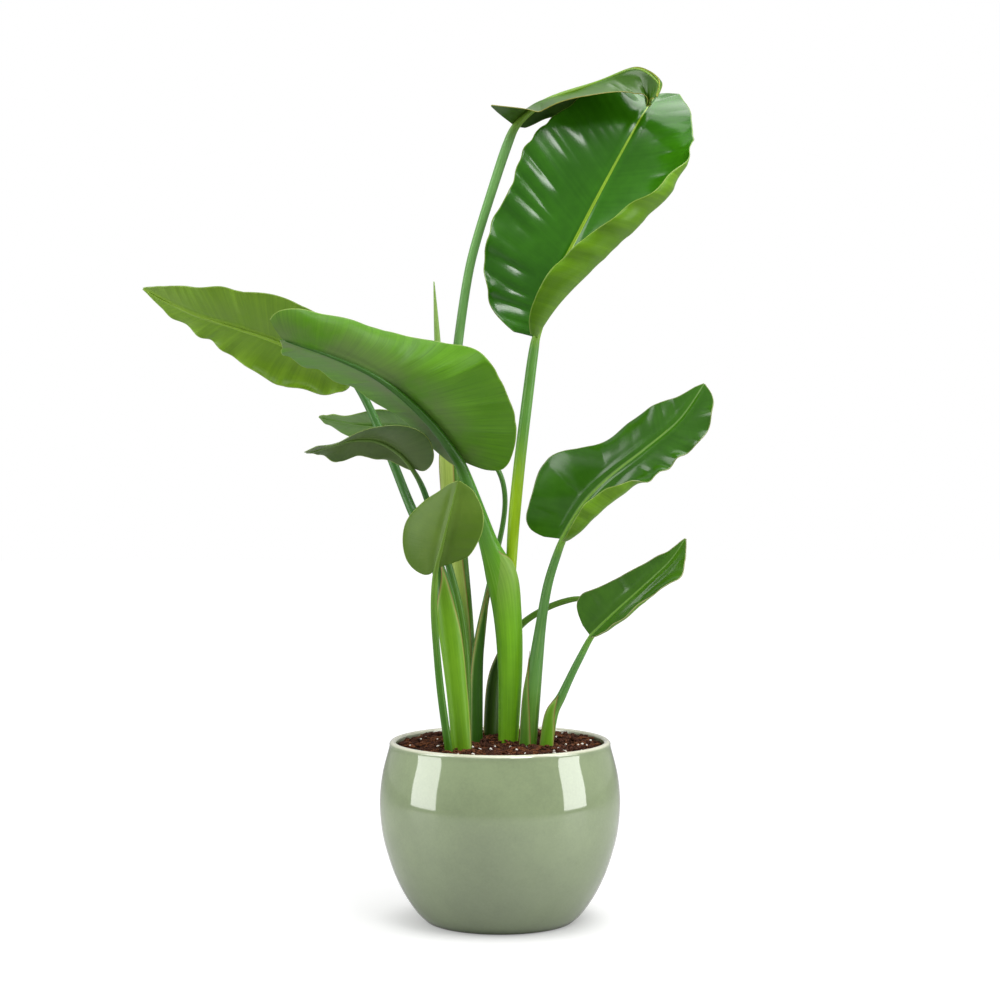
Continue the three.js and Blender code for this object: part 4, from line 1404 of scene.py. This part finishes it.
class BuildStage(bpy.types.Operator):
    """Lay the pale floor and set the lights and the camera"""

    bl_idname = "plant.build_stage"
    bl_label = "Stage"

    def execute(self, context):
        settings = context.scene.plant_stage
        self.floor(context, settings)
        self.surroundings(context, settings)
        for name, (turn, width) in TALL_SOFTBOXES.items():
            angle = math.radians(turn)
            target = Vector((0, 0, TALL_SOFTBOX_LEVEL))
            spot = target + Vector((math.sin(angle), math.cos(angle), 0)) * TALL_SOFTBOX_DISTANCE
            self.softbox(context, name, spot, target, (width, TALL_SOFTBOX_HEIGHT), settings.softbox)
        for name, (spot, size) in SOFTBOXES.items():
            self.softbox(context, name, Vector(spot), Vector(PLANT_MIDDLE), size, getattr(settings, name))
        camera = bpy.data.objects.new("camera", bpy.data.cameras.new("camera"))
        context.collection.objects.link(camera)
        camera.data.lens = settings.lens
        camera.data.sensor_width = SENSOR_WIDTH
        camera.location = CAMERA_PLACE
        camera.rotation_euler = (math.radians(CAMERA_TILT), 0, 0)
        context.scene.camera = camera
        context.scene.view_settings.view_transform = "Standard"
        return {"FINISHED"}

    def floor(self, context, settings):
        """A plain floor that runs out of sight."""
        bm = bmesh.new()
        bmesh.ops.create_grid(bm, x_segments=1, y_segments=1, size=FLOOR_REACH)
        mesh = bpy.data.meshes.new("floor")
        bm.to_mesh(mesh)
        bm.free()
        floor = bpy.data.objects.new("floor", mesh)
        context.collection.objects.link(floor)
        mesh.materials.append(floor_finish(settings))

    def softbox(self, context, name, spot, target, size, power):
        """A rectangular softbox that stands at spot and faces target."""
        light = bpy.data.lights.new(name, "AREA")
        light.shape = "RECTANGLE"
        light.size, light.size_y = size
        light.energy = power
        lamp = bpy.data.objects.new(name, light)
        context.collection.objects.link(lamp)
        lamp.location = spot
        lamp.rotation_euler = (target - spot).to_track_quat("-Z", "Y").to_euler()

    def surroundings(self, context, settings):
        """A white background with a dimmer, even light from all round, dimmest from behind the camera."""
        world = bpy.data.worlds.new("studio")
        context.scene.world = world
        world.use_nodes = True
        tree = world.node_tree
        seen = tree.nodes.new("ShaderNodeLightPath").outputs["Is Camera Ray"]
        direction = tree.nodes.new("ShaderNodeTexCoord").outputs["Generated"]
        parts = tree.nodes.new("ShaderNodeSeparateXYZ")
        around = tree.nodes.new("ShaderNodeMapRange")
        around.inputs["From Min"].default_value = -1.0
        for key, share in zip(("To Min", "To Max"), DAYLIGHT_SHARES):
            around.inputs[key].default_value = settings.daylight * share
        strength = tree.nodes.new("ShaderNodeMapRange")
        strength.inputs["To Max"].default_value = 1.0
        sky = tree.nodes["Background"]
        sky.inputs["Color"].default_value = (1, 1, 1, 1)
        tree.links.new(direction, parts.inputs["Vector"])
        tree.links.new(parts.outputs["Y"], around.inputs["Value"])
        tree.links.new(seen, strength.inputs["Value"])
        tree.links.new(around.outputs["Result"], strength.inputs["To Min"])
        tree.links.new(strength.outputs["Result"], sky.inputs["Strength"])


class PlantPanel(bpy.types.Panel):
    """The plant's operators, listed in the 3D view's sidebar"""

    bl_idname = "VIEW3D_PT_plant"
    bl_label = "Potted Plant"
    bl_space_type = "VIEW_3D"
    bl_region_type = "UI"
    bl_category = "Plant"

    def draw(self, context):
        for key in ("plant_leaves", "plant_pot", "plant_stage"):
            settings = getattr(context.scene, key)
            box = self.layout.box()
            for name in settings.__annotations__:
                box.prop(settings, name)
        for operator in OPERATORS:
            self.layout.operator(operator.bl_idname)


SETTINGS = {"plant_leaves": LeafSettings, "plant_pot": PotSettings, "plant_stage": StageSettings}
OPERATORS = [BuildStage, BuildPot, BuildSoil, BuildBlades, BuildStalks, BuildNewLeaf]


def register():
    for kind in [*SETTINGS.values(), *OPERATORS, PlantPanel]:
        bpy.utils.register_class(kind)
    for key, kind in SETTINGS.items():
        setattr(bpy.types.Scene, key, bpy.props.PointerProperty(type=kind))


def unregister():
    for key in SETTINGS:
        delattr(bpy.types.Scene, key)
    for kind in [PlantPanel, *reversed(OPERATORS), *reversed(SETTINGS.values())]:
        bpy.utils.unregister_class(kind)


def main():
    register()
    bpy.ops.plant.build_stage()
    bpy.ops.plant.build_pot()
    bpy.ops.plant.build_soil()
    bpy.ops.plant.build_blades()
    bpy.ops.plant.build_stalks()
    bpy.ops.plant.build_new_leaf()


if __name__ == "__main__":
    main()
